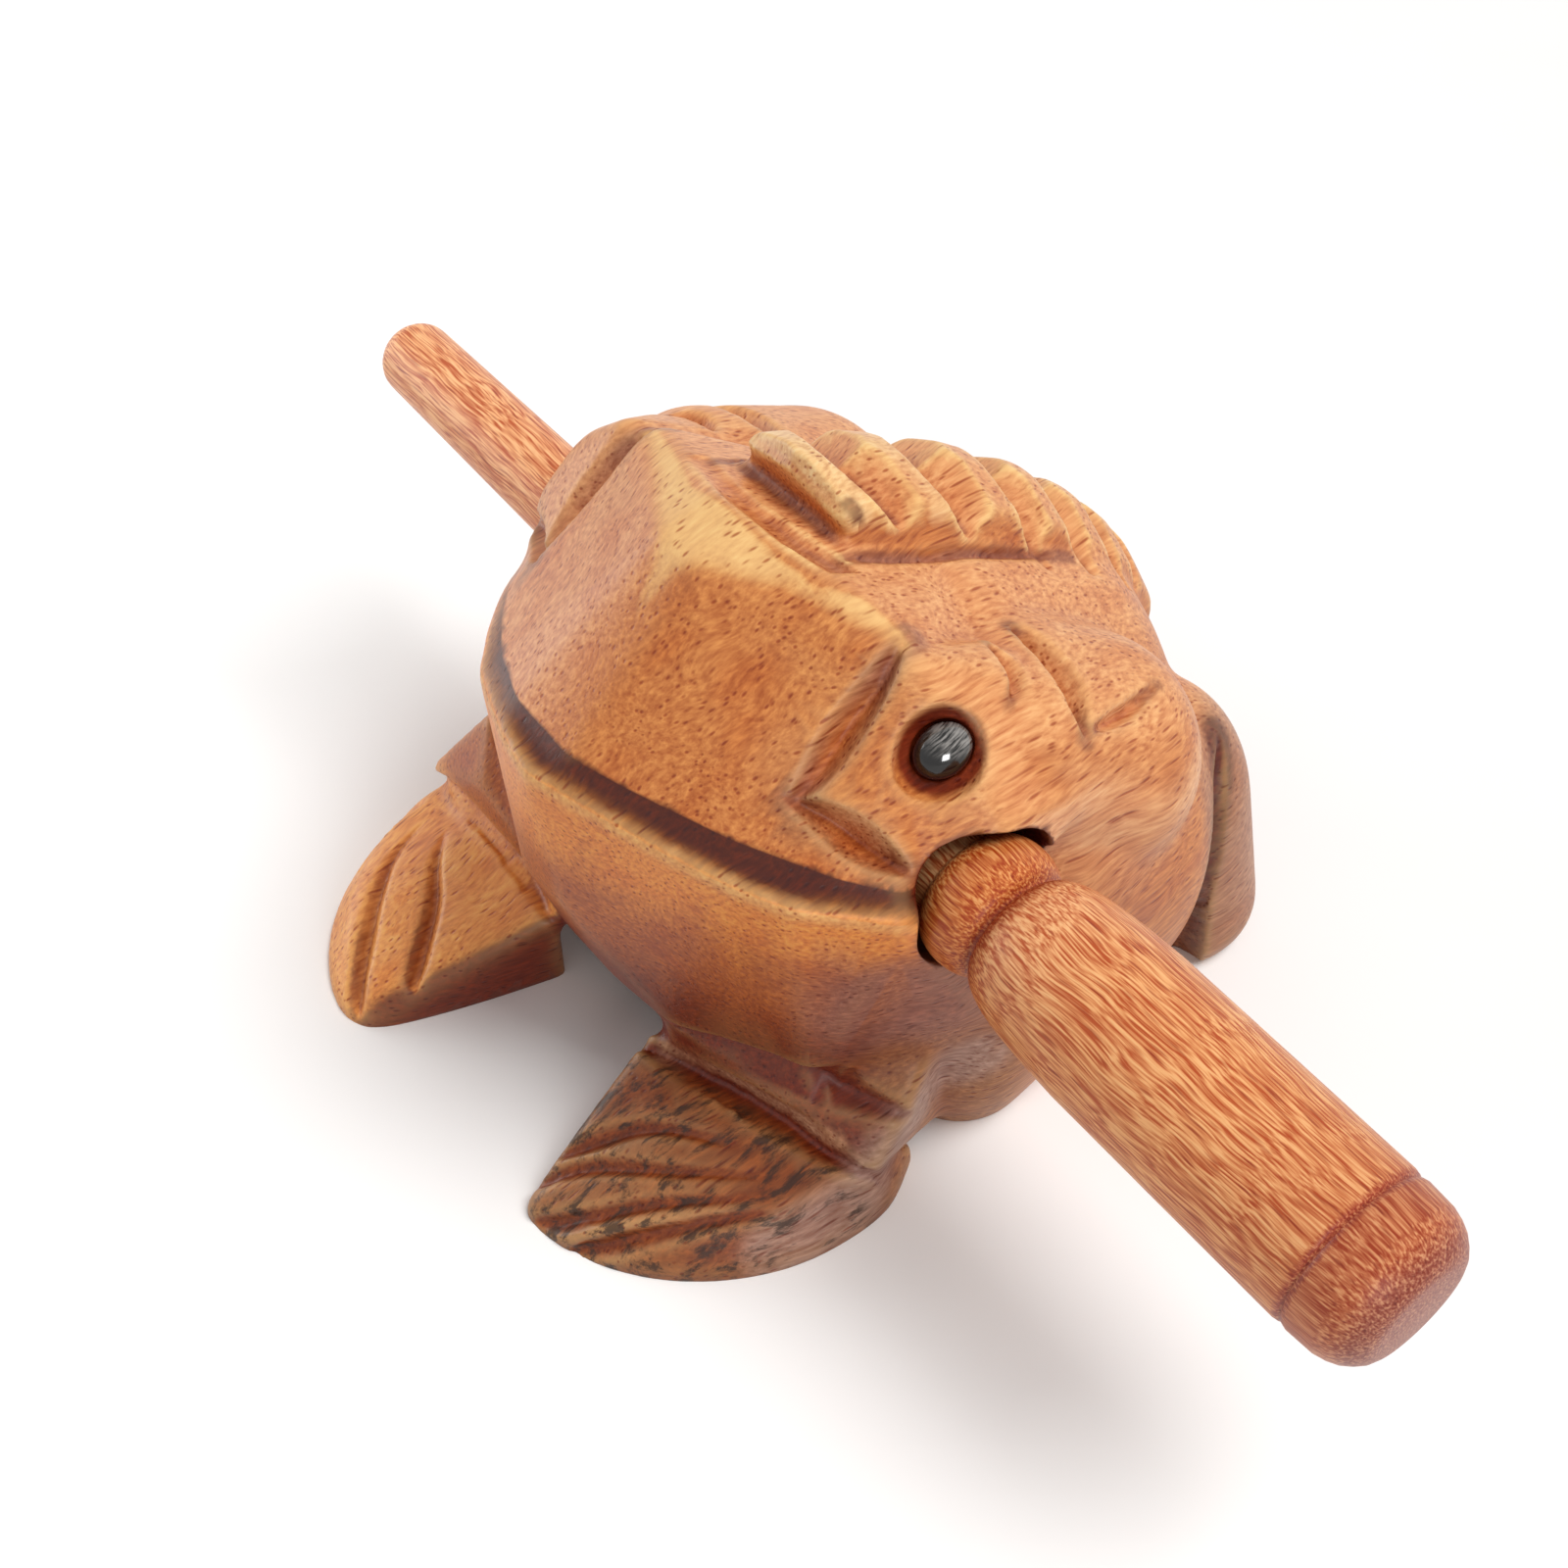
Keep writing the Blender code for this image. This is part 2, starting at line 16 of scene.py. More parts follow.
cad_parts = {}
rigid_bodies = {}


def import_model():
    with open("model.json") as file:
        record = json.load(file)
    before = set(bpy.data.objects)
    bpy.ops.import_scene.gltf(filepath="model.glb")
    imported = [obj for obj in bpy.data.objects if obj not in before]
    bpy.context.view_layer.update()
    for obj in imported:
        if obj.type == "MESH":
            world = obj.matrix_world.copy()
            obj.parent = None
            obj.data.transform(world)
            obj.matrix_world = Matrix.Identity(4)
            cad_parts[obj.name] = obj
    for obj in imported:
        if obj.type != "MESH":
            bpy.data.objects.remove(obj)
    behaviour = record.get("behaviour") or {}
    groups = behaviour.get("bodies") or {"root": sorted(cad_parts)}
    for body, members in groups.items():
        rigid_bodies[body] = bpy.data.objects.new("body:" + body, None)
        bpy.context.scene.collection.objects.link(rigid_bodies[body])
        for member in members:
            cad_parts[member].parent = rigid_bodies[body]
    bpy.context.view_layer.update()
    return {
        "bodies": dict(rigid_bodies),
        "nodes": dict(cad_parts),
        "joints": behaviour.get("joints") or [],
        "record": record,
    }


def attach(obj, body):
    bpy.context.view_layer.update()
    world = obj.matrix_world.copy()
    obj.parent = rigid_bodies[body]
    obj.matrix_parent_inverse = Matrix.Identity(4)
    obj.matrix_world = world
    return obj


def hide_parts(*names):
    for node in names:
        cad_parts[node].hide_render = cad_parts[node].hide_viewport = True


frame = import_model()
scene = bpy.context.scene
MM = 0.001


# Camera
# The frog is seen from its front left and well above, from a hand's length away.
# A 50 mm lens on a 36 mm square frame, level, with no shift and no depth of field.

camera = bpy.data.objects.new("camera", bpy.data.cameras.new("camera"))
scene.collection.objects.link(camera)
camera.location = Vector((113.19, -108.55, 173.57)) * MM
camera.rotation_euler = Vector((-0.54464, 0.41897, -0.72651)).to_track_quat("-Z", "Y").to_euler()
camera.data.lens = 50.0
camera.data.sensor_width = 36.0
camera.data.clip_start = 0.01
scene.camera = camera


# Floor and light
# A matt white board in an even white surround, under broad soft daylight from above and behind the
# frog's left, which no gloss mirrors, and two weak lamps in front. The light is set so that a colour
# renders about as it is written.

scene.view_settings.view_transform = "Standard"


def linear(code):
    """Linear RGBA of an sRGB hex colour."""
    parts = [int(code[k:k + 2], 16) / 255 for k in (0, 2, 4)]
    return (*[c / 12.92 if c <= 0.04045 else ((c + 0.055) / 1.055) ** 2.4 for c in parts], 1.0)


def add_node(tree, kind, inputs=None, **settings):
    """Adds a shader node. Its inputs take values, or sockets to link from, by name or number.

    In a mix of colours, input 0 is the share of the second colour, and 6 and 7 are the two colours.
    """
    made = tree.nodes.new(kind)
    for name, value in settings.items():
        setattr(made, name, value)
    for key, value in (inputs or {}).items():
        if isinstance(value, bpy.types.NodeSocket):
            tree.links.new(value, made.inputs[key])
        else:
            made.inputs[key].default_value = value
    return made


def new_material(name, **sockets):
    """A material with its Principled shader's constant sockets set; returns it, its tree and the shader."""
    made = bpy.data.materials.new(name)
    made.use_nodes = True
    shader = made.node_tree.nodes["Principled BSDF"]
    for socket, value in sockets.items():
        shader.inputs[socket.replace("_", " ")].default_value = value
    return made, made.node_tree, shader


def seen_ray(tree):
    """1 for a ray from the camera, off gloss or through glass, and 0 for one that lights a matt surface."""
    rays = add_node(tree, "ShaderNodeLightPath").outputs
    seen = rays["Is Camera Ray"]
    for kind in ("Is Glossy Ray", "Is Transmission Ray"):
        seen = add_node(tree, "ShaderNodeMath", {0: seen, 1: rays[kind]}, operation="MAXIMUM").outputs[0]
    return seen


# Matt white board: paper-like and rough. Its faint mottle is a few centimetres wide, and what it throws
# back on the object is duller than what the camera sees of it.
board, tree, shader = new_material("matt_white_board", Roughness=0.85)
spot = add_node(tree, "ShaderNodeTexCoord").outputs["Object"]
mottle = add_node(tree, "ShaderNodeTexNoise", {"Vector": spot, "Scale": 1 / (40 * MM), "Detail": 2.0})
paper = add_node(tree, "ShaderNodeMix", {0: mottle.outputs["Fac"], 6: linear("F9F8F6"), 7: linear("FEFDFC")},
                 data_type="RGBA")
shown = add_node(tree, "ShaderNodeMix", {0: seen_ray(tree), 6: linear("C4BCB6"), 7: paper.outputs[2]},
                 data_type="RGBA")
tree.links.new(shown.outputs[2], shader.inputs["Base Color"])

BOARD_HALF_SIZE = 1.5
bm = bmesh.new()
bmesh.ops.create_grid(bm, x_segments=1, y_segments=1, size=BOARD_HALF_SIZE)
mesh = bpy.data.meshes.new("floor")
bm.to_mesh(mesh)
bm.free()
floor = bpy.data.objects.new("floor", mesh)
scene.collection.objects.link(floor)
mesh.materials.append(board)

# The surround looks white and lights the object at a third of that
SURROUND_LIGHT = 0.33
scene.world = bpy.data.worlds.new("white_surround")
scene.world.use_nodes = True
tree = scene.world.node_tree
tree.nodes.clear()
strength = add_node(tree, "ShaderNodeMix", {0: seen_ray(tree), 2: SURROUND_LIGHT, 3: 1.0})
surround = add_node(tree, "ShaderNodeBackground",
                    {"Color": linear("FFFFFF"), "Strength": strength.outputs[0]})
add_node(tree, "ShaderNodeOutputWorld", {"Surface": surround.outputs[0]})

sun = bpy.data.objects.new("soft_daylight", bpy.data.lights.new("soft_daylight", "SUN"))
sun.data.energy = 2.35
sun.data.angle = math.radians(36.0)
sun.visible_glossy = False
sun.rotation_euler = Vector((-0.34, -0.30, -0.89)).to_track_quat("-Z", "Y").to_euler()
scene.collection.objects.link(sun)
HEAD_MIDDLE = Vector((0.0, -20.0, 35.0)) * MM


def add_lamp(name, size, energy, place):
    """Adds a square lamp, so many millimetres wide, that shines on the head with so many watts."""
    lamp = bpy.data.objects.new(name, bpy.data.lights.new(name, "AREA"))
    lamp.data.size = size * MM
    lamp.data.energy = energy
    lamp.location = Vector(place) * MM
    lamp.rotation_euler = (HEAD_MIDDLE - lamp.location).to_track_quat("-Z", "Y").to_euler()
    scene.collection.objects.link(lamp)
    return lamp


# A window on the frog's left and, on the left of the picture, a wider and dimmer fill
add_lamp("window_lamp", 110.0, 0.14, (240.0, -120.0, 120.0))
add_lamp("left_fill", 240.0, 0.48, (-300.0, -190.0, 80.0))


# Frog body
# One block of orange-brown hardwood, sawn to its bulk, hollowed through the mouth and cut with gouges,
# then sanded and varnished. It is 85 mm long with its feet, 70 mm wide and 62 mm high.
# The carving is measured from the point of the table under the bore, BORE_AHEAD in front of the origin.

BORE_AHEAD = 24.0
STRIKER_HEIGHT = 36.9
STRIKER_DIP = 2.0
MOUTH_HEIGHT = 36.0
MOUTH_GAP = 2.2
MOUTH_SLOPE = 0.295
CHAMBER_RADII = (22.5, 24.0, 16.0)
CHAMBER_CENTRE = (0.0, 8.0, 27.0)
RIDGE_HALF_WIDTH = 7.5
TOOTH_CUT_DEPTH = 3.4
TOE_GROOVE_DEPTH = 1.3
EYE_RADII = (2.6, 2.15, 2.0)
EYE_SINK = 1.3
EYE_RECESS_RADII = (4.5, 3.8, 2.4)

# The ridge's crest as y and z, its rear end as y and how far it has sunk, and the middle of the back's bend
CREST = [(2.2, 62.6), (9.5, 60.0), (20.0, 54.6), (30.0, 47.4), (37.0, 41.2), (43.0, 34.4), (46.6, 28.0),
         (47.8, 22.0)]
RIDGE_TAIL = [(48.6, 3.0), (49.4, 8.0)]
BACK_MIDDLE_Y = 14.0
BACK_MIDDLE_Z = 22.0

COARSE_VOXEL = 0.6
FINE_VOXEL = 0.3
SANDING_ROUNDS = 7
EDGE_ROUNDS = 3
BODY_TRIANGLES = 165000

# From the carving's own measure to the shared frame
to_frame = Matrix.Translation(Vector((0.0, -BORE_AHEAD, 0.0)) * MM)


def point(x, y, z):
    return Vector((x, y, z)) * MM


def both_sides(points):
    return list(points) + [(-x, y, z) for x, y, z in points]


def new_object(name, bm):
    made = bpy.data.objects.new(name, bpy.data.meshes.new(name))
    bm.to_mesh(made.data)
    bm.free()
    scene.collection.objects.link(made)
    return made


def add_hull(bm, points):
    """Adds the convex solid round the points."""
    verts = [bm.verts.new(spot) for spot in points]
    result = bmesh.ops.convex_hull(bm, input=verts, use_existing_faces=False)
    spare = {item for key in ("geom_interior", "geom_unused") for item in result[key]}
    bmesh.ops.delete(bm, geom=[item for item in spare if isinstance(item, bmesh.types.BMVert)],
                     context="VERTS")
    bmesh.ops.recalc_face_normals(bm, faces=bm.faces)


def add_block(bm, points):
    add_hull(bm, [point(*spot) for spot in points])


def add_rounded(bm, balls):
    """Adds the convex solid round a few ellipsoids, each given as its centre and radii."""
    spots = []
    for centre, radii in balls:
        ball = bmesh.new()
        bmesh.ops.create_icosphere(ball, subdivisions=4, radius=1.0)
        spots += [point(*(c + r * a for c, r, a in zip(centre, radii, vert.co))) for vert in ball.verts]
        ball.free()
    add_hull(bm, spots)


def add_loft(bm, rings):
    """Adds a closed solid through rings of points, with a flat cap at each end."""
    loops = []
    for ring in rings:
        verts = [bm.verts.new(spot) for spot in ring]
        loops.append([bm.edges.new(pair) for pair in zip(verts, verts[1:] + verts[:1])])
    faces = []
    for first, second in zip(loops, loops[1:]):
        faces += bmesh.ops.bridge_loops(bm, edges=first + second)["faces"]
    for loop in (loops[0], loops[-1]):
        faces += bmesh.ops.contextual_create(bm, geom=loop)["faces"]
    bmesh.ops.recalc_face_normals(bm, faces=faces)


def shape_with(thing, kind, **settings):
    """Puts one modifier's result into the object's mesh."""
    added = thing.modifiers.new(kind.title(), kind)
    for name, value in settings.items():
        setattr(added, name, value)
    graph = bpy.context.evaluated_depsgraph_get()
    mesh = bpy.data.meshes.new_from_object(thing.evaluated_get(graph))
    thing.modifiers.clear()
    thing.data = mesh
    return mesh


def cut(body, cutter, operation="DIFFERENCE", use_self=False):
    shape_with(body, "BOOLEAN", operation=operation, object=cutter, solver="EXACT", use_self=use_self)
    bpy.data.objects.remove(cutter, do_unlink=True)


def mouth_level(y, lift=0.0):
    """Height of the mouth's lower face at the distance y, and of planes parallel to it."""
    return MOUTH_HEIGHT - MOUTH_SLOPE * y + lift


def ridge_point(y, x, down):
    """Point of the spine ridge at the crest's distance y, x to the side and so far below the crest."""
    for (y0, z0), (y1, z1) in zip(CREST, CREST[1:]):
        if y <= y1 or (y1, z1) == CREST[-1]:
            z = z0 + (z1 - z0) * (y - y0) / (y1 - y0)
            break
    inward = Vector((0.0, BACK_MIDDLE_Y - y, BACK_MIDDLE_Z - z)).normalized()
    return point(x, y + inward.y * down, z + inward.z * down)


def along_curve(points, steps):
    """Points along a smooth curve through the given ones."""
    spots = [Vector(spot) for spot in points]
    ends = [2 * spots[0] - spots[1]] + spots + [2 * spots[-1] - spots[-2]]
    route = []
    for before, start, end, after in zip(ends, ends[1:], ends[2:], ends[3:]):
        for step in range(steps):
            t = step / steps
            route.append(0.5 * (2 * start + (end - before) * t
                                + (2 * before - 5 * start + 4 * end - after) * t * t
                                + (3 * start - before - 3 * end + after) * t ** 3))
    return route + [spots[-1]]


bm = bmesh.new()

# Upper head: two snout facets from the lip up to a swept and bevelled brow edge
lip = [(29.9, -8.3), (25.7, -12.5), (18.6, -17.2), (9.6, -21.3), (3.6, -23.6),
       (-5.2, -23.2), (-11.7, -20.8), (-15.9, -18.2), (-20.3, -14.7), (-23.8, -10.5), (-27.8, -5.6)]
add_block(bm, [(x, y, mouth_level(y, MOUTH_GAP - 1.3)) for x, y in lip]
          + both_sides([(18.6, 0.0, 54.1), (9.2, -4.0, 56.4), (2.5, -8.6, 57.7), (17.6, 1.6, 55.0),
                        (8.6, -0.8, 57.9), (1.8, -3.2, 59.6), (19.0, 12.0, 46.0), (8.0, 14.0, 50.5),
                        (24.0, 10.0, 36.0)]))

# Eye blocks: their faces turn outwards from the snout and stand a little proud of it
add_block(bm, [(19.1, 0.1, 55.0), (18.9, -10.5, 45.2), (27.6, -6.8, 40.8), (29.4, -5.0, 36.0),
               (31.2, 1.5, 43.8), (32.0, 3.0, 36.0), (22.0, 7.0, 51.8), (24.0, 12.0, 48.0),
               (30.0, 14.0, 41.0), (18.0, 10.0, 51.0), (16.0, 2.0, 45.0), (18.0, 8.0, 36.0)])
add_block(bm, [(-20.0, 0.1, 55.0), (-19.6, -10.0, 45.0), (-25.0, -1.0, 50.9), (-25.2, -2.8, 49.7),
               (-25.4, -6.1, 46.6), (-25.6, -7.8, 42.4), (-25.4, -8.7, 38.3), (-29.0, -5.0, 37.5),
               (-30.2, 1.5, 43.0), (-30.8, 3.0, 36.0), (-24.4, 6.0, 50.2), (-24.5, 12.0, 46.5),
               (-29.0, 14.0, 40.0), (-18.0, 10.0, 50.0), (-16.0, 2.0, 45.0), (-18.0, 8.0, 36.0)])

# Lower jaw: a full bowl from the lower lip down to the throat and the wrists
LOWER_LIP = [(30.6, -8.8), (25.0, -16.2), (21.0, -18.8), (16.0, -21.0), (11.0, -22.8), (6.0, -24.6),
             (1.5, -26.0), (-4.0, -24.8), (-8.0, -23.4), (-11.9, -22.0), (-17.3, -17.8), (-22.5, -12.8),
             (-27.0, -7.0)]
add_block(bm, [(x, y, mouth_level(y, 0.6)) for x, y in LOWER_LIP]
          + both_sides([(3.0, -24.6, 27.0), (4.0, -20.5, 15.0), (5.0, -14.5, 3.0), (24.0, -13.5, 14.0),
                        (12.0, -19.0, 14.0), (30.0, -4.0, 24.0), (31.0, 4.0, 14.0), (29.0, 4.0, 1.0),
                        (30.0, 2.0, 36.0)]))

# Trunk, shoulders, thighs and rump
add_rounded(bm, [((0.0, 8.0, 28.0), (29.0, 22.0, 25.0)), ((0.0, 24.0, 20.0), (25.0, 19.5, 24.0))])
for side in (1, -1):
    add_rounded(bm, [((side * 17.0, 12.5, 35.5), (12.5, 11.0, 13.2)),
                     ((side * 20.5, 20.0, 32.5), (11.5, 11.0, 11.8)),
                     ((side * 21.0, 8.5, 41.5), (8.8, 8.0, 8.3)),
                     ((side * 19.0, 16.0, 28.0), (12.0, 14.0, 14.0))])
    add_rounded(bm, [((side * 19.5, 12.0, 22.0), (13.5, 18.0, 22.0)),
                     ((side * 19.0, 21.0, 17.0), (13.0, 17.0, 20.0)),
                     ((side * 23.0, 6.0, 10.0), (9.0, 9.0, 16.0))])
    add_rounded(bm, [((side * 18.0, 33.0, 14.0), (11.0, 11.0, 16.5)),
                     ((side * 22.0, 36.0, 3.0), (8.0, 9.0, 6.0))])

# Front legs: a wrist band on a wedge-shaped foot that runs out to the toes, its edge just over the table
FOOT_EDGE = 1.2
FOOT_DEPTH = 3.2
for sole, top in (
        ([(8.4, -16.0), (9.4, -27.0), (10.7, -34.4), (12.4, -36.8), (18.0, -35.6), (23.6, -32.2),
          (28.0, -27.4), (31.0, -21.6), (32.2, -15.6), (31.8, -9.6), (28.6, -4.0)],
         [(7.0, -19.0, 8.6), (22.5, -14.5, 9.2), (30.0, -11.4, 6.8), (11.0, -31.0, 4.4),
          (12.2, -34.6, 3.2), (18.6, -33.2, 3.9), (24.8, -27.4, 4.7), (29.0, -20.5, 5.6),
          (17.0, -24.6, 7.0), (9.0, -8.0, 4.0)]),
        ([(-9.5, -18.0), (-12.0, -28.0), (-14.6, -35.8), (-17.6, -38.4), (-22.4, -37.8), (-27.8, -34.8),
          (-32.2, -30.2), (-35.0, -24.6), (-35.4, -18.4), (-33.0, -10.0)],
         [(-8.5, -18.5, 10.6), (-22.5, -14.5, 11.5), (-32.4, -13.0, 9.0), (-13.0, -29.5, 5.6),
          (-16.0, -35.4, 3.4), (-18.6, -36.2, 3.2), (-24.2, -34.4, 4.0), (-29.2, -30.2, 4.8),
          (-32.8, -24.6, 5.6), (-34.0, -18.6, 6.6)])):
    outline = along_curve([(x, y, FOOT_EDGE) for x, y in sole], 8)
    add_block(bm, top + [(x, y, z - drop) for x, y, z in outline for drop in (0.0, FOOT_DEPTH)])
add_block(bm, [(9.0, -18.6, 8.0), (9.6, -18.8, 13.2), (22.0, -13.6, 14.0), (31.0, -7.6, 11.6),
               (22.5, -15.2, 9.2), (31.2, -11.2, 6.0), (28.0, 0.0, 20.0), (28.0, 0.0, 2.0),
               (10.0, -5.0, 12.0), (10.0, -5.0, 2.0)])
add_block(bm, [(-9.5, -18.5, 13.5), (-9.0, -18.0, 8.0), (-23.0, -18.0, 17.0), (-30.0, -16.0, 15.5),
               (-34.0, -18.0, 10.0), (-34.5, -14.0, 7.0), (-27.0, -14.0, 21.0), (-28.0, 0.0, 20.0),
               (-28.0, 0.0, 2.0), (-10.0, -5.0, 12.0), (-10.0, -5.0, 2.0), (-31.0, -6.0, 8.0)])

# Spine ridge: a low roof along the back that narrows as its rear end sinks, cut into teeth later
rings = []
for y, sink in [(y, 0.0) for y, z in CREST] + RIDGE_TAIL:
    half = [(1.5, sink), (RIDGE_HALF_WIDTH - 1.0 - 0.4 * sink, sink + 2.4),
            (RIDGE_HALF_WIDTH - 0.4 * sink, sink + 9.0)]
    rings.append([ridge_point(y, x, down) for x, down in [(-x, down) for x, down in reversed(half)] + half])
add_loft(bm, rings)
frog = new_object("frog", bm)
shape_with(frog, "REMESH", mode="VOXEL", voxel_size=COARSE_VOXEL * MM)

# Chamber behind the mouth
bm = bmesh.new()
add_rounded(bm, [(CHAMBER_CENTRE, CHAMBER_RADII)])
cut(frog, new_object("chamber", bm))

# The block is sanded round before the gouge work
shape_with(frog, "REMESH", mode="VOXEL", voxel_size=COARSE_VOXEL * MM)
shape_with(frog, "SMOOTH", factor=0.5, iterations=SANDING_ROUNDS)
surface = BVHTree.FromObject(frog, bpy.context.evaluated_depsgraph_get())


def add_gouge(bm, path, width, depth, open_end=False):
    """Adds the V-shaped chip that a gouge takes out along a path near the surface.

    The chip starts at nothing and dies out at its far end, or runs off the wood there if open_end is set.
    """
    route = along_curve(path, 7)
    rise = 0.5
    least_bite = 0.12
    rings = []
    for number, spot in enumerate(route):
        share = number / (len(route) - 1)
        bite = max(math.sin(math.pi * (share / 2 if open_end else share)) ** 0.7, least_bite)
        place, normal = surface.find_nearest(spot * MM)[:2]
        ahead = route[min(number + 1, len(route) - 1)] - route[max(number - 1, 0)]
        if open_end and number == len(route) - 1:
            place = place + ahead.normalized() * 2.0 * MM
        across = ahead.cross(normal).normalized()
        half = 0.5 * width * bite * (1 + rise / (depth * bite))
        top = place + normal * rise * MM
        rings.append([top - across * half * MM, place - normal * depth * bite * MM, top + across * half * MM])
    add_loft(bm, rings)


def add_ball(bm, centre, radii, frame, subdivisions=4):
    made = bmesh.ops.create_icosphere(bm, subdivisions=subdivisions, radius=1.0)["verts"]
    size = Matrix.Diagonal((*[radius * MM for radius in radii], 1.0))
    bmesh.ops.transform(bm, matrix=frame @ Matrix.Translation(point(*centre)) @ size, verts=made)


# Where the eyes sit: a frame on each eye block's face, its Z outwards and its X along the recess
eye_frames = {}
for name, spot in (("left_eye", (24.7, -0.4, 48.8)), ("right_eye", (-28.2, 0.4, 45.6))):
    place, normal = surface.find_nearest(point(*spot))[:2]
    across = normal.cross(Vector((0.0, 0.94, 0.34))).normalized()
    turn = Matrix((across.cross(normal), across, normal)).transposed().to_4x4()
    eye_frames[name] = Matrix.Translation(place) @ turn

# Cross cuts that leave the ridge's teeth, steep behind each tooth and easy before the next
bm = bmesh.new()
reach = RIDGE_HALF_WIDTH + 2.0
for y, behind, ahead in ((7.4, 2.4, 5.0), (16.4, 2.8, 5.0), (25.8, 2.6, 3.4), (32.6, 2.1, 2.8),
                         (38.2, 1.8, 2.0), (42.2, 1.5, 1.8), (45.6, 1.3, 1.4)):
    depth = TOOTH_CUT_DEPTH * min(1.0, (behind + ahead) / 6.5)
    rings = []
    for x in (-reach, 0.0, reach):
        drop, swept = (3.0, y + 2.2) if x else (0.0, y)
        rings.append([ridge_point(swept - behind, x, drop - 1.2), ridge_point(swept, x, drop + depth),
                      ridge_point(swept + ahead, x, drop - 1.2)])
    add_loft(bm, rings)

# Scoop between the brow and the first tooth, shallower on the far side; then the eyes' recesses
SCOOP_FLOOR = 57.5
OVERHEAD = 68.0
rings = []
for x, front, rear, drop, rise in (
        (-9.6, -1.9, 6.0, 2.4, 1.4), (-5.0, -3.0, 4.9, 0.8, 0.7), (0.0, -3.4, 4.1, 0.0, 0.0),
        (5.0, -2.6, 4.9, 1.0, 0.0), (9.6, -0.4, 6.0, 2.8, 0.4)):
    low = SCOOP_FLOOR - drop + rise
    section = ((front, 60.2 - drop), (front + 1.8, low + 0.5), (front + 3.0, low), (rear - 3.0, low + 0.8),
               (rear - 0.9, 60.8 - drop), (rear, 63.5 - drop), (rear, OVERHEAD), (front - 1.5, OVERHEAD))
    rings.append([point(x, y, z) for y, z in section])
add_loft(bm, rings)
for place in eye_frames.values():
    add_ball(bm, (0.0, 0.0, 0.1), EYE_RECESS_RADII, place)

# Each side's brow groove, the notch under the eye block, the cuts behind the eye, the ridge's base line
# and the thigh's hollow, which runs out under the sole
SHOULDER_CUT = [(25.9, 12.4, 43.6), (25.2, 17.0, 41.6), (23.4, 22.5, 39.0)]
RIDGE_BASE = [(8.0, 1.0, 56.6), (8.1, 8.0, 53.4), (8.1, 16.3, 49.7), (8.1, 23.0, 46.4), (8.0, 30.0, 42.2)]
THIGH_HOLLOW = [(24.0, 36.5, 28.0), (27.5, 32.5, 22.0), (29.2, 30.7, 12.3), (28.7, 31.3, 1.0)]
for side in (1, -1):
    for path, width, depth in (
            ([(17.0, 2.4, 54.8), (18.4, -2.5, 52.6), (18.7, -5.9, 49.6), (19.0, -8.8, 47.0),
              (19.2, -12.0, 45.0)], 3.4, 2.4),
            ([(18.2, -11.6, 45.6), (21.6, -10.1, 44.8), (24.0, -9.0, 43.9), (26.3, -7.8, 42.7),
              (28.4, -6.2, 41.2)], 3.8, 3.2),
            ([(18.4, 9.2, 51.6), (20.0, 9.6, 51.0), (21.8, 9.4, 50.3), (23.3, 8.6, 49.8),
              (24.2, 7.0, 49.5)], 2.0, 1.8),
            ([(16.4, 14.2, 49.2), (18.6, 14.5, 47.9), (22.0, 13.9, 46.2), (24.6, 12.9, 45.0),
              (26.6, 12.0, 43.8)], 3.2, 3.4),
            (SHOULDER_CUT, 1.8, 1.6),
            (RIDGE_BASE, 1.6, 1.3)):
        add_gouge(bm, [(side * x, y, z) for x, y, z in path], width, depth)
    hollow = THIGH_HOLLOW + [(28.7, 31.3, -3.0)]
    add_gouge(bm, [(side * x, y, z) for x, y, z in hollow], 5.0, 3.4, open_end=True)

# Front feet: a step under each wrist, a soft crease above it and grooves between the toes
for path, width, depth in (
        ([(5.0, -21.0, 7.2), (9.7, -19.6, 8.5), (17.0, -17.4, 9.1), (23.4, -15.3, 8.9), (28.0, -13.4, 7.3),
          (33.0, -9.0, 3.6)], 3.0, 1.7),
        ([(9.0, -19.6, 13.2), (17.8, -16.2, 14.5), (23.4, -14.0, 14.5), (27.5, -10.5, 12.9),
          (32.0, -5.8, 10.4)], 5.4, 1.9),
        ([(-6.0, -19.6, 9.0), (-13.0, -18.6, 10.6), (-23.0, -17.0, 11.0), (-30.0, -18.0, 10.6),
          (-36.0, -16.0, 7.0)], 2.6, 1.4)):
    add_gouge(bm, path, width, depth)
for path in ([(22.0, -19.6, 7.4), (15.0, -24.6, 6.5), (11.2, -30.6, 4.6)],
             [(26.4, -18.6, 6.7), (19.6, -25.6, 6.1), (14.0, -30.6, 4.9), (11.0, -34.2, 3.0)],
             [(27.4, -20.0, 6.0), (21.4, -27.9, 5.2), (18.2, -32.9, 4.1), (15.0, -37.4, 2.0)],
             [(29.0, -19.4, 5.2), (25.8, -25.0, 5.0), (22.4, -31.6, 3.7), (19.6, -36.4, 1.5)],
             [(-33.4, -19.0, 9.6), (-34.6, -23.0, 6.0), (-33.0, -27.5, 4.0)],
             [(-30.0, -20.5, 8.0), (-28.7, -25.4, 5.8), (-26.0, -29.2, 4.8), (-22.8, -32.4, 3.9),
              (-18.0, -37.0, 2.0)],
             [(-26.5, -20.4, 8.0), (-23.8, -23.6, 7.5), (-19.7, -26.6, 6.6), (-15.0, -32.0, 5.2)]):
    add_gouge(bm, path, 2.7, TOE_GROOVE_DEPTH, open_end=True)
cut(frog, new_object("gouge_work", bm), use_self=True)
shape_with(frog, "REMESH", mode="VOXEL", voxel_size=FINE_VOXEL * MM)
shape_with(frog, "SMOOTH", factor=0.5, iterations=EDGE_ROUNDS)


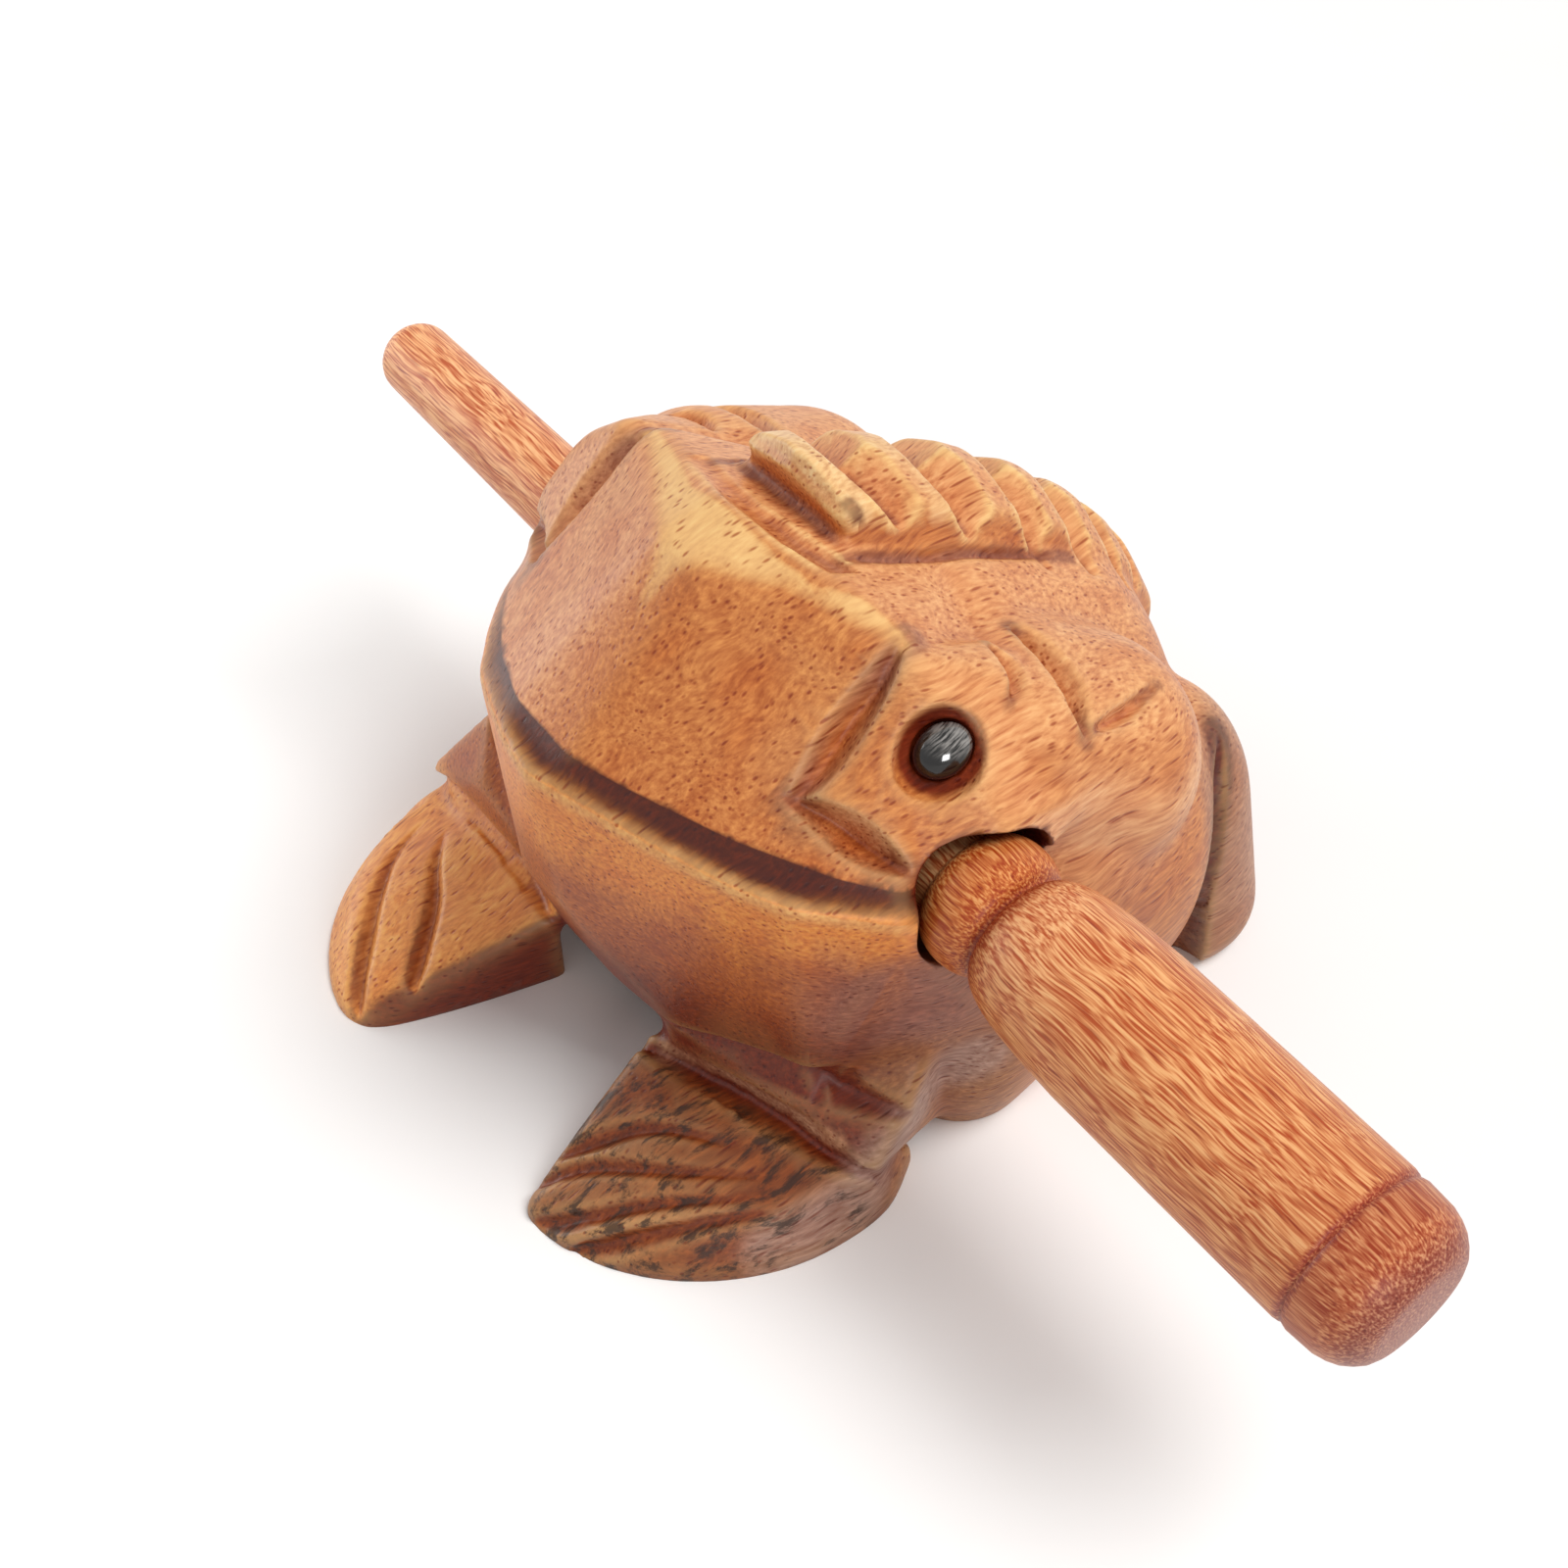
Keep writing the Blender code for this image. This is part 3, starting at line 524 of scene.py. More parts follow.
def vertex_arrays(mesh):
    """The mesh's vertices and their normals, as two arrays."""
    arrays = []
    for item in ("co", "normal"):
        values = np.empty(3 * len(mesh.vertices))
        mesh.vertices.foreach_get(item, values)
        arrays.append(values.reshape(-1, 3))
    return arrays


# Worn edges and darkened hollows: how far each spot stands out of, or lies in, its smoothed surroundings
WEAR_SPREAD = 24
WEAR_BLUR = 3
FULL_WEAR = 0.3
mesh = frog.data
count = len(mesh.vertices)
spots, outward = vertex_arrays(mesh)
ends = np.empty(2 * len(mesh.edges), dtype=np.int64)
mesh.edges.foreach_get("vertices", ends)
one, other = ends.reshape(-1, 2).T
degree = np.bincount(ends, minlength=count)[:, None]


def spread(values, times):
    """Averages values over neighbouring vertices, so many times."""
    for _ in range(times):
        total = np.stack([np.bincount(one, column[other], count) + np.bincount(other, column[one], count)
                          for column in values.T], axis=1)
        values = 0.5 * values + 0.5 * total / degree
    return values


proud = ((spots - spread(spots, WEAR_SPREAD)) * outward).sum(axis=1) / MM
proud = spread(proud[:, None], WEAR_BLUR)[:, 0]
tree = KDTree(count)
for number, spot in enumerate(spots):
    tree.insert(spot, number)
tree.balance()

shape_with(frog, "DECIMATE", decimate_type="COLLAPSE", ratio=BODY_TRIANGLES / (2 * len(mesh.polygons)))
frog.name = "carved_frog"

# The striker's bore, the mouth slot, the bead seats and the flat sole are cut last, so they stay clean.
# The first two cutters are finely divided, so that their walls have vertices enough to take the tones.


def striker_frame():
    """Frame of the stick and its bore: X along the stick, its handle end dipping a little."""
    dip = Matrix.Rotation(math.radians(STRIKER_DIP), 4, "Y")
    return Matrix.Translation(point(0.0, 0.0, STRIKER_HEIGHT)) @ dip


CLEARANCE = 0.3
BEAD_RADIUS = 6.4
BEAD_SEAT = 28.2
BORE_PLAY = 0.8
FAR_WALL = 30.5
SHAFT_LENGTH = 90.5
SHAFT_RADIUS = 5.0
TIP_RADIUS = 3.95
BORE_LENGTH = 90.0
lift = BORE_PLAY - CLEARANCE
thinned = (TIP_RADIUS - SHAFT_RADIUS) * (BEAD_SEAT + FAR_WALL) / SHAFT_LENGTH
near_radius = BEAD_RADIUS + BORE_PLAY
far_radius = lift + SHAFT_RADIUS + thinned + CLEARANCE
slope = (near_radius - far_radius) / (BEAD_SEAT + FAR_WALL)
bm = bmesh.new()
bmesh.ops.create_cone(bm, cap_ends=True, segments=96, depth=BORE_LENGTH * MM,
                      radius1=(far_radius - slope * (0.5 * BORE_LENGTH - FAR_WALL)) * MM,
                      radius2=(near_radius + slope * (0.5 * BORE_LENGTH - BEAD_SEAT)) * MM)
turn = Matrix.Translation(point(0.0, 0.0, lift)) @ Matrix.Rotation(math.radians(90.0), 4, "Y")
lengthwise = [edge for edge in bm.edges if edge.calc_length() > 0.5 * BORE_LENGTH * MM]
bmesh.ops.subdivide_edges(bm, edges=lengthwise, cuts=90)
bmesh.ops.transform(bm, matrix=striker_frame() @ turn, verts=bm.verts)
cut(frog, new_object("bore", bm))

SLOT_REACH = 40.0
SLOT_REAR = -1.0
bm = bmesh.new()
add_block(bm, [(x, y, mouth_level(y, height)) for x in (-SLOT_REACH, SLOT_REACH)
               for y in (-SLOT_REACH, SLOT_REAR) for height in (0.0, MOUTH_GAP)])
level = [edge for edge in bm.edges if edge.calc_length() > 2.0 * MOUTH_GAP * MM]
bmesh.ops.subdivide_edges(bm, edges=level, cuts=60, use_grid_fill=True)
cut(frog, new_object("mouth_slot", bm))
bm = bmesh.new()
for place in eye_frames.values():
    add_ball(bm, (0.0, 0.0, -EYE_SINK), [radius + CLEARANCE for radius in EYE_RADII], place)
cut(frog, new_object("bead_seats", bm))
BEYOND = 120.0
bm = bmesh.new()
add_block(bm, [(x, y, z) for x in (-BEYOND, BEYOND) for y in (-BEYOND, BEYOND) for z in (0.0, BEYOND)])
cut(frog, new_object("table_top", bm), operation="INTERSECT")

# Each vertex keeps its tone of the wood, which the sanding, the varnish and handling made differ from
# one area to the next, with light and shade painted into it in places, and in its wear layer its worn
# edges and the brow band's painted highlight (red), its hollows (green) and its black stain (blue).
mesh = frog.data
near = [tree.find(vertex.co)[1] for vertex in mesh.vertices]
proud = proud[near]
spots, facing = vertex_arrays(mesh)
spots = spots / MM
x, y, z = spots.T
tone = np.tile(linear("C4763E")[:3], (len(spots), 1))


def fade(values, full, none):
    """1 where the values reach full, 0 from none on, and a soft step between."""
    share = np.clip((values - none) / (full - none), 0.0, 1.0)
    return share * share * (3 - 2 * share)


def away(line, sides=False):
    """How far each vertex is from a line through the points, or from that line on either side."""
    places = spots * 1.0
    if sides:
        places[:, 0] = np.abs(places[:, 0])
    least = np.full(len(spots), np.inf)
    line = [surface.find_nearest(point(*spot))[0] / MM for spot in line]
    for start, stop in zip(line, line[1:]):
        start, leg = np.array(start), np.array(stop) - np.array(start)
        share = np.clip((places - start) @ leg / (leg @ leg), 0.0, 1.0)
        least = np.minimum(least, np.linalg.norm(places - start - share[:, None] * leg, axis=1))
    return least


def tint(code, amount):
    """Turns the tone towards a colour, by an amount for each vertex."""
    tone[:] = tone + (np.array(linear(code)[:3]) - tone) * amount[:, None]


def keep_colours(mesh, name, values):
    """Stores three values for each vertex as a colour attribute."""
    layer = mesh.color_attributes.new(name, "FLOAT_COLOR", "POINT")
    layer.data.foreach_set("color", np.hstack([values, np.ones((len(values), 1))]).ravel())


worn = np.clip(proud / FULL_WEAR, 0.0, 1.0)
sunk = np.clip(-proud / FULL_WEAR, 0.0, 1.0)
axis = np.array(striker_frame().to_3x3().col[0])
bore_middle = np.array((0.0, 0.0, STRIKER_HEIGHT + BORE_PLAY - CLEARANCE))
off_axis = np.linalg.norm(np.cross(spots - bore_middle, axis), axis=1)

# Back, head and flanks are reddish orange on top and tan where they turn down
tint("DC9560", fade(facing[:, 2], 0.75, 0.35) * fade(y, 3.0, -3.0))
tint("E2A474", fade(np.abs(x), 24.0, 17.0) * fade(z, 33.0, 24.0) * fade(facing[:, 2], 0.1, 0.6))
# Behind the stick's hole the flank is paler, partly its tan and partly a painted satin highlight
tint("EFBA92",
     0.9 * fade(np.abs(x), 26.0, 20.0) * fade(y, 8.0, 3.0) * fade(z, 42.0, 28.0) * fade(z, 20.0, 30.0))
# Snout: the far facet is browner; the crease between the facets is paler, where the painted highlight of
# the brow band runs down it
tint("D48C5C", fade(x, -4.0, 1.0) * fade(-y, 2.0, -2.0) * fade(z, 42.0, 38.0))
# Jaw: orange under the lip; browner and redder towards the throat and deep red-brown low under the chin,
# both painted shade; greyish mauve at the stick's hole, a painted sheen
gap = (z - mouth_level(y)) / MOUTH_GAP
jaw = fade(gap, 0.1, 0.5) * fade(-y, 3.0, -6.0) * fade(z, 14.0, 10.0)
tint("E88A38", jaw)
tint("AC5824", jaw * fade(z, 30.0, 37.0))
tint("6C2408", fade(gap, 0.0, 0.4) * fade(z, 18.0, 28.0) * fade(-y, 8.0, -2.0) * fade(x, -10.0, -20.0))
tint("8C5444", 0.85 * fade(away([(30.0, -9.0, 26.0), (31.0, -5.0, 22.0), (31.0, 1.0, 20.0)]), 4.5, 9.5))
# Painted shade, brown, low on the near side at the back of the front leg
tint("9A6038", fade(x, 20.0, 12.0) * fade(z, 14.0, 22.0) * fade(y, -6.0, -12.0) * fade(-y, -4.0, -12.0))
# A pale band just under the lower lip's edge: a worn edge with a painted highlight on it
tint("E6A662", 0.75 * fade(gap, -0.1, -0.8) * fade(-gap, 0.03, 0.0) * fade(-y, 3.0, -6.0))
# Pale brow band: a painted highlight on the narrow facet along the brow's edge
lower = np.interp(x, (-17.0, -11.2, -3.9, 0.2, 3.5, 6.2, 8.7, 12.0, 17.1),
                  (0.0, -3.0, -7.8, -11.0, -7.9, -5.9, -3.6, -2.2, 0.3))
upper = np.interp(x, (-17.0, -10.0, -4.9, 1.8, 6.3, 10.0, 12.9, 17.0),
                  (1.4, -1.2, -3.4, -3.4, -3.0, -2.0, 0.8, 1.6))
brow_highlight = (fade(y - lower, 1.8, -0.8) * fade(upper - y, 0.5, -0.3) * fade(z, 52.0, 50.0)
        * fade(np.abs(x), 17.6, 18.6))
# Gouged walls and hollows are browner and greyer than the sanded wood, and darker, with painted shade in
# the cuts
for line, width, code, amount in (
        ([(17.4, 2.4, 54.8), (18.4, -2.5, 52.6), (18.7, -5.9, 49.6), (19.2, -11.0, 45.6)],
         1.5, "9A6049", 0.85),
        ([(18.4, -11.4, 45.4), (21.6, -10.1, 44.2), (24.0, -9.0, 43.3), (26.3, -7.8, 42.1),
          (28.2, -6.4, 40.9)], 1.7, "8E4F30", 0.85),
        ([(16.4, 14.2, 49.2), (22.0, 13.9, 46.2), (26.6, 12.0, 43.8)], 0.9, "8A4D33", 0.8),
        ([(18.4, 9.2, 51.6), (21.8, 9.4, 50.3), (24.2, 7.0, 49.5)], 0.6, "9A5A38", 0.8),
        (SHOULDER_CUT, 0.6, "9A5A38", 0.8),
        (RIDGE_BASE, 0.7, "8A4A2E", 0.8)):
    tint(code, amount * fade(away(line, sides=True), 0.6 * width, 1.4 * width))
# The ridge is brown between its teeth and pale on their worn edges, with a painted highlight along the
# first two crests
ridge = fade(np.abs(x), 8.0, 9.5) * fade(y, -1.5, -4.0) * fade(z, 30.0, 26.0)
tint("A66B50", 0.85 * ridge * fade(sunk, 0.55, 0.1) * fade(facing[:, 2], 0.2, 0.0))
tint("EDBE7C", 0.9 * ridge * fade(worn, 0.6, 0.15))
tint("F0C48A", 0.9 * fade(away([(-6.4, 5.4, 58.4), (0.0, 4.3, 61.4), (6.4, 5.4, 58.4)]), 1.0, 1.7))
tint("EBB880", 0.9 * fade(away([(-6.4, 14.3, 54.2), (0.0, 13.0, 58.0), (6.4, 14.3, 54.2)]), 0.8, 1.6))
tint("6A3420", fade(away([(6.2, 5.0, 58.4), (5.6, 4.6, 59.2)]), 0.4, 1.0))
# The brow band's painted highlight
tint("EAB36C", 0.92 * brow_highlight)
# Thighs: brown, and a dark red-brown painted shade in the hollow before them
thigh = fade(y, 31.0, 28.0) * fade(np.abs(x), 21.0, 17.0) * fade(-z, -24.0, -34.0)
tint("9A6A52", 0.8 * thigh)
tint("5E2A1C", fade(away(THIGH_HOLLOW, sides=True), 1.2, 3.0))
# Front feet: the near one is dark brown with a black stain, and its leg's lower facet, which faces down
# and forward, is painted a deep red-brown shade
step = fade(-(y + 19.6 - 0.34 * (x - 9.7)), 1.2, -0.8) * fade(x, 3.0, 0.0) * fade(z, 10.0, 11.5)
tint("7E3E1A", step)
facet = away([(9.5, -19.0, 11.0), (17.5, -17.0, 12.0), (24.0, -14.4, 12.2), (29.5, -10.5, 10.6)])
tint("742C14", 0.95 * (fade(facet, 2.4, 4.2) * fade(z, 8.9, 8.0)))
step_edge = away([(9.7, -19.8, 9.2), (17.0, -17.6, 9.9), (23.4, -15.5, 9.8), (28.0, -13.2, 8.6)])
tint("C09070", 0.7 * fade(step_edge, 0.5, 1.3))
outer_side = away([(31.4, 1.0, 13.0), (31.8, -6.0, 8.5), (32.2, -13.0, 4.0), (31.0, -22.0, 2.5)])
tint("A9877A", 0.8 * fade(outer_side, 1.6, 4.5))
# The far foot is orange, painted lighter as if in full light, and its inner side is a deep red painted
# shadow
far_foot = fade(x, -8.0, -3.0) * fade(-y, 17.0, 13.0) * fade(z, 10.0, 13.0)
tint("E8954A", far_foot)
tint("6A0E02", 0.95 * far_foot * fade(facing[:, 0], 0.6, 0.2))
tint("B06A30", 0.7 * far_foot * fade(sunk, 0.5, 0.1))
# Mouth: the lip's upper face is brown at its edge and painted nearly black further in, as shade under
# the upper lip, like the slot's roof, which is painted shadow too; the wood inside is bare, and painted
# dark as shade
lip_edge = [(31.0, -8.8)] + LOWER_LIP[1:]
rim_depth = np.full(len(spots), np.inf)
for (x0, y0), (x1, y1) in zip(lip_edge, lip_edge[1:]):
    inwards = ((x0 - x1) * (y - y0) - (y0 - y1) * (x - x0)) / math.hypot(x1 - x0, y1 - y0)
    rim_depth = np.minimum(rim_depth, inwards)
slot = fade(gap, -0.03, -0.06) * fade(-gap, -1.03, -1.06) * fade(-y, -4.0, -6.0)
tint("8E5422", 0.95 * slot * fade(facing[:, 2], 0.8, 0.5))
tint("4A1806", slot * fade(rim_depth, 2.2, 0.3))
tint("2E1006", slot * fade(-facing[:, 2], 0.8, 0.3))
from_middle = (spots - np.array(CHAMBER_CENTRE)) / np.array(CHAMBER_RADII)
tint("35130A", fade(-np.sqrt((from_middle ** 2).sum(axis=1)), -1.02, -1.05))
# Bore: its wall is painted a dark red, as shade inside the hole
wall = np.interp(x, (-FAR_WALL, BEAD_SEAT), (far_radius, near_radius))
tint("5E1F10", fade(off_axis - wall, 0.05, 0.25) * fade(np.abs(x), 31.5, 36.0))
# Eye recesses are stained a dark red-brown, out to a little inside their edges
STAIN_LENGTH = 4.1
STAIN_WIDTH = 3.6
for place in eye_frames.values():
    along, across, out = ((spots - np.array(place.translation) / MM) @ np.array(place.to_3x3())).T
    reach = np.sqrt((along / STAIN_LENGTH) ** 2 + (across / STAIN_WIDTH) ** 2)
    tint("7A2E15", fade(reach, 0.88, 1.02) * fade(-out, 0.15, -0.4) * fade(np.abs(out), 3.0, 4.0))

keep_colours(mesh, "tone", tone)
keep_colours(mesh, "wear_and_highlight", np.stack([np.maximum(worn, brow_highlight), sunk, step], axis=1))
mesh.transform(to_frame)
mesh.shade_smooth()


def add_grain(tree, sway, way, fibre, vessel, detail, roughness):
    """Adds a wood's grain. Returns the swayed places, the streaks, and the distance from a pore's middle.

    Sway is how wide its waves are and how far they go, way turns the grain's own axes, and fibre and
    vessel are the sizes of a streak and of a pore along these axes, all in millimetres.
    """
    spot = add_node(tree, "ShaderNodeTexCoord").outputs["Object"]
    drift = add_node(tree, "ShaderNodeTexNoise", {"Vector": spot, "Scale": 1 / (sway[0] * MM), "Detail": 1.0})
    centred = add_node(tree, "ShaderNodeVectorMath", {0: drift.outputs["Color"], 1: (0.5, 0.5, 0.5)},
                       operation="SUBTRACT")
    waved = add_node(tree, "ShaderNodeVectorMath", {0: centred.outputs[0], 1: 3 * (sway[1] * MM,), 2: spot},
                     operation="MULTIPLY_ADD").outputs[0]
    fibres = add_node(tree, "ShaderNodeMapping", {0: waved, 2: way, 3: [1 / (size * MM) for size in fibre]})
    streak = add_node(tree, "ShaderNodeTexNoise", {"Vector": fibres.outputs[0], "Scale": 1.0,
                                                   "Detail": detail, "Roughness": roughness})
    vessels = add_node(tree, "ShaderNodeMapping", {0: waved, 2: way, 3: [1 / (size * MM) for size in vessel]})
    pore = add_node(tree, "ShaderNodeTexVoronoi", {"Vector": vessels.outputs[0], "Scale": 1.0})
    return waved, streak.outputs["Fac"], pore.outputs["Distance"]


# Varnished hardwood, gouge-cut and sanded: the grain runs from the nose to the rump, so its pores are
# long dark lines on the flanks and short dashes on the snout. A thin satin varnish lies over it.
wood, tree, shader = new_material("gouged_varnished_hardwood", Roughness=0.44, Specular_IOR_Level=0.3,
                                  Coat_Weight=0.14, Coat_Roughness=0.28)
waved, streak, pore = add_grain(tree, sway=(9.0, 3.0), way=(0.0, 0.0, 0.0), fibre=(0.42, 3.5, 0.42),
                                vessel=(0.6, 8.0, 0.6), detail=3.0, roughness=0.55)
pored = add_node(tree, "ShaderNodeMapRange", {"Value": pore, "From Min": 0.12, "From Max": 0.3,
                                              "To Min": 1.0, "To Max": 0.0})
toned = add_node(tree, "ShaderNodeVertexColor", layer_name="tone")
marks = add_node(tree, "ShaderNodeVertexColor", layer_name="wear_and_highlight")
wear_and_highlight_part, sunk_part, stained_part = add_node(
    tree, "ShaderNodeSeparateColor", {0: marks.outputs["Color"]}).outputs[:3]

# Broad darker layers, then pale and dark streaks
layers = add_node(tree, "ShaderNodeMapping", {0: waved, 3: (1 / (5 * MM), 1 / (40 * MM), 1 / (5 * MM))})
ripple = add_node(tree, "ShaderNodeTexNoise", {"Vector": layers.outputs[0], "Scale": 1.0, "Detail": 2.0})
deep_layer = add_node(tree, "ShaderNodeMapRange", {"Value": ripple.outputs["Fac"], "From Min": 0.52,
                                                   "From Max": 0.34, "To Max": 0.5})
layered = add_node(tree, "ShaderNodeMix", {0: deep_layer.outputs[0], 6: toned.outputs["Color"],
                                           7: linear("E2B894")}, data_type="RGBA", blend_type="MULTIPLY")
pale = add_node(tree, "ShaderNodeMapRange",
                {"Value": streak, "From Min": 0.5, "From Max": 0.72, "To Max": 0.7})
lit = add_node(tree, "ShaderNodeMix", {0: pale.outputs[0], 6: layered.outputs[2], 7: layered.outputs[2]},
               data_type="RGBA", blend_type="SCREEN")
deep = add_node(tree, "ShaderNodeMapRange",
                {"Value": streak, "From Min": 0.5, "From Max": 0.28, "To Max": 0.6})
grained = add_node(tree, "ShaderNodeMix", {0: deep.outputs[0], 6: lit.outputs[2], 7: linear("BE8468")},
                   data_type="RGBA", blend_type="MULTIPLY")

# Worn edges and the brow band's painted highlight are pale, and hollows and pores are dark
edge = add_node(tree, "ShaderNodeMath", {0: wear_and_highlight_part, 1: 0.55}, operation="MULTIPLY")
wear_and_highlight_edge = add_node(tree, "ShaderNodeMix", {0: edge.outputs[0], 6: grained.outputs[2], 7: linear("EDC083")},
                     data_type="RGBA")
hollow = add_node(tree, "ShaderNodeMath", {0: sunk_part, 1: 0.75}, operation="MULTIPLY")
darkened_hollows = add_node(tree, "ShaderNodeMix", {0: hollow.outputs[0], 6: wear_and_highlight_edge.outputs[2],
                                            7: linear("C89884")}, data_type="RGBA", blend_type="MULTIPLY")
faint = add_node(tree, "ShaderNodeMath", {0: pored.outputs[0], 1: 0.8}, operation="MULTIPLY")
speckled = add_node(tree, "ShaderNodeMix", {0: faint.outputs[0], 6: darkened_hollows.outputs[2],
                                            7: linear("B4745A")}, data_type="RGBA", blend_type="MULTIPLY")

# Black stain on the near foot, in drawn-out patches that lie askew to the grain
soot = add_node(tree, "ShaderNodeMapping", {0: waved, 2: (0.0, 0.0, math.radians(-24.0)),
                                            3: (1 / (1.4 * MM), 1 / (7 * MM), 1 / (1.4 * MM))})
black = add_node(tree, "ShaderNodeTexNoise", {"Vector": soot.outputs[0], "Scale": 1.0, "Detail": 5.0,
                                              "Roughness": 0.7})
sooted = add_node(tree, "ShaderNodeMapRange", {"Value": black.outputs["Fac"], "From Min": 0.5,
                                               "From Max": 0.6, "To Max": 0.85})
stain = add_node(tree, "ShaderNodeMath", {0: sooted.outputs[0], 1: stained_part}, operation="MULTIPLY")
stained = add_node(tree, "ShaderNodeMix", {0: stain.outputs[0], 6: speckled.outputs[2], 7: linear("2A1A12")},
                   data_type="RGBA")
tree.links.new(stained.outputs[2], shader.inputs["Base Color"])
relief = add_node(tree, "ShaderNodeMath", {0: pored.outputs[0], 1: -0.7, 2: streak}, operation="MULTIPLY_ADD")
bump = add_node(tree, "ShaderNodeBump", {"Height": relief.outputs[0], "Distance": 0.1 * MM, "Strength": 0.5})
tree.links.new(bump.outputs[0], shader.inputs["Normal"])
frog.data.materials.clear()
frog.data.materials.append(wood)
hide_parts("frog_body")
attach(frog, "root")


# Striker
# One stick of reddish hardwood, turned on a lathe: a rounded tip, a tapering shaft, a bead, a neck
# and a round handle with a grooved end. It is about 140 mm long and lies loose in the bore.

BEAD_LENGTH = 6.2
HANDLE_LENGTH = 43.5
HANDLE_RADIUS = 7.6
END_CAP_LENGTH = 6.5
tip = BEAD_SEAT - SHAFT_LENGTH
neck = BEAD_SEAT + BEAD_LENGTH
end = neck + HANDLE_LENGTH
groove = end - END_CAP_LENGTH
profile = [(tip, 0.0)]
for angle in (8, 16, 24, 34, 44, 54, 66, 78, 90):
    turn = math.radians(angle)
    profile.append((tip + 0.8 * TIP_RADIUS * (1 - math.cos(turn)), TIP_RADIUS * math.sin(turn)))
for share in (0.35, 0.7):
    profile.append((tip + share * SHAFT_LENGTH, TIP_RADIUS + (SHAFT_RADIUS - TIP_RADIUS) * share))
profile.append((BEAD_SEAT - 0.1, SHAFT_RADIUS))
for step in range(15):
    turn = math.pi * (0.08 + 0.84 * step / 14)
    profile.append((BEAD_SEAT + 0.5 * BEAD_LENGTH * (1 - math.cos(turn)),
                    SHAFT_RADIUS - 0.3 + (BEAD_RADIUS - SHAFT_RADIUS + 0.3) * math.sin(turn)))
profile.append((neck + 0.3, SHAFT_RADIUS - 0.1))

# The handle's front, its groove and its rounded end, as places along it and depths below its radius
for start, steps in (
        (neck, ((0.5, 2.1), (0.9, 1.7), (1.4, 1.4), (2.2, 1.1), (3.2, 0.8), (4.6, 0.55), (6.5, 0.35),
                (9.0, 0.15), (12.5, 0.0), (25.0, 0.0))),
        (groove, ((-0.7, 0.02), (-0.25, 0.12), (0.0, 0.4), (0.25, 0.16), (0.7, 0.05))),
        (end, ((-3.4, 0.2), (-2.4, 0.5), (-1.6, 0.9), (-0.9, 1.5), (-0.4, 2.1), (-0.1, 2.8), (0.0, 3.5),
               (0.1, HANDLE_RADIUS)))):
    profile += [(start + length, HANDLE_RADIUS - inset) for length, inset in steps]
bm = bmesh.new()
verts = [bm.verts.new(point(x, radius, 0.0)) for x, radius in profile]
edges = [bm.edges.new(pair) for pair in zip(verts, verts[1:])]
bmesh.ops.spin(bm, geom=verts + edges, cent=(0, 0, 0), axis=(1, 0, 0), angle=math.tau, steps=96,
               use_merge=True)
bmesh.ops.remove_doubles(bm, verts=bm.verts, dist=0.001 * MM)
bmesh.ops.recalc_face_normals(bm, faces=bm.faces)
bmesh.ops.transform(bm, matrix=to_frame @ striker_frame(), verts=bm.verts)
stick = new_object("turned_striker", bm)
stick.data.shade_smooth()

# Each vertex keeps its tone: redder end and neck. Up to the neck the stick is painted paler on top, as
# light from above, and a deeper orange on its lower front side, as shade.
spots, outward = vertex_arrays(stick.data)
spots = spots / MM
x = (spots - np.array((0.0, -BORE_AHEAD, STRIKER_HEIGHT))) @ axis
tone = np.tile(linear("EDA468")[:3], (len(spots), 1))
tint("F2AC74", fade(x, neck + 4.0, neck + 12.0) * fade(outward[:, 2], 0.7, 0.2))
tint("E58A42", fade(-outward[:, 1] - outward[:, 2], 1.1, 0.4) * fade(x, neck, neck + 6.0))
tint("FAB47C", fade(-x, 0.0, -10.0))
tint("C4744A", fade(x, groove - 0.1, groove - 1.2))
tint("A05A44", fade(x, end - 1.0, end - 2.2))
tint("A8461F", fade(-np.abs(x - neck - 0.4), -0.6, -1.5))
tint("A8482A", 0.8 * fade(-np.abs(x - groove), -0.2, -0.6))
tint("D0752F", 0.8 * fade(-np.abs(x - BEAD_SEAT - 0.5 * BEAD_LENGTH), -2.6, -3.4))
keep_colours(stick.data, "tone", tone)

# Turned hardwood under a thin varnish: orange-brown, with fine wavy dark red streaks and pores along
# the stick
wood, tree, shader = new_material("turned_varnished_hardwood", Roughness=0.42, Specular_IOR_Level=0.3,
                                  Coat_Weight=0.14, Coat_Roughness=0.25)
streak, pore = add_grain(tree, sway=(7.0, 1.2), way=(0.0, math.radians(-STRIKER_DIP), 0.0),
                         fibre=(5.0, 0.2, 0.2), vessel=(4.5, 0.45, 0.45), detail=2.0, roughness=0.5)[1:]
pored = add_node(tree, "ShaderNodeMapRange", {"Value": pore, "From Min": 0.14, "From Max": 0.32,
                                              "To Min": 0.6, "To Max": 0.0})
toned = add_node(tree, "ShaderNodeVertexColor", layer_name="tone")
pale = add_node(tree, "ShaderNodeMapRange",
                {"Value": streak, "From Min": 0.52, "From Max": 0.7, "To Max": 0.35})
lit = add_node(tree, "ShaderNodeMix", {0: pale.outputs[0], 6: toned.outputs["Color"], 7: linear("E9B27C")},
               data_type="RGBA", blend_type="SCREEN")
deep = add_node(tree, "ShaderNodeMapRange", {"Value": streak, "From Min": 0.6, "From Max": 0.36})
grained = add_node(tree, "ShaderNodeMix", {0: deep.outputs[0], 6: lit.outputs[2], 7: linear("C07C5C")},
                   data_type="RGBA", blend_type="MULTIPLY")
base = add_node(tree, "ShaderNodeMix", {0: pored.outputs[0], 6: grained.outputs[2], 7: linear("B87258")},
                data_type="RGBA", blend_type="MULTIPLY")
tree.links.new(base.outputs[2], shader.inputs["Base Color"])
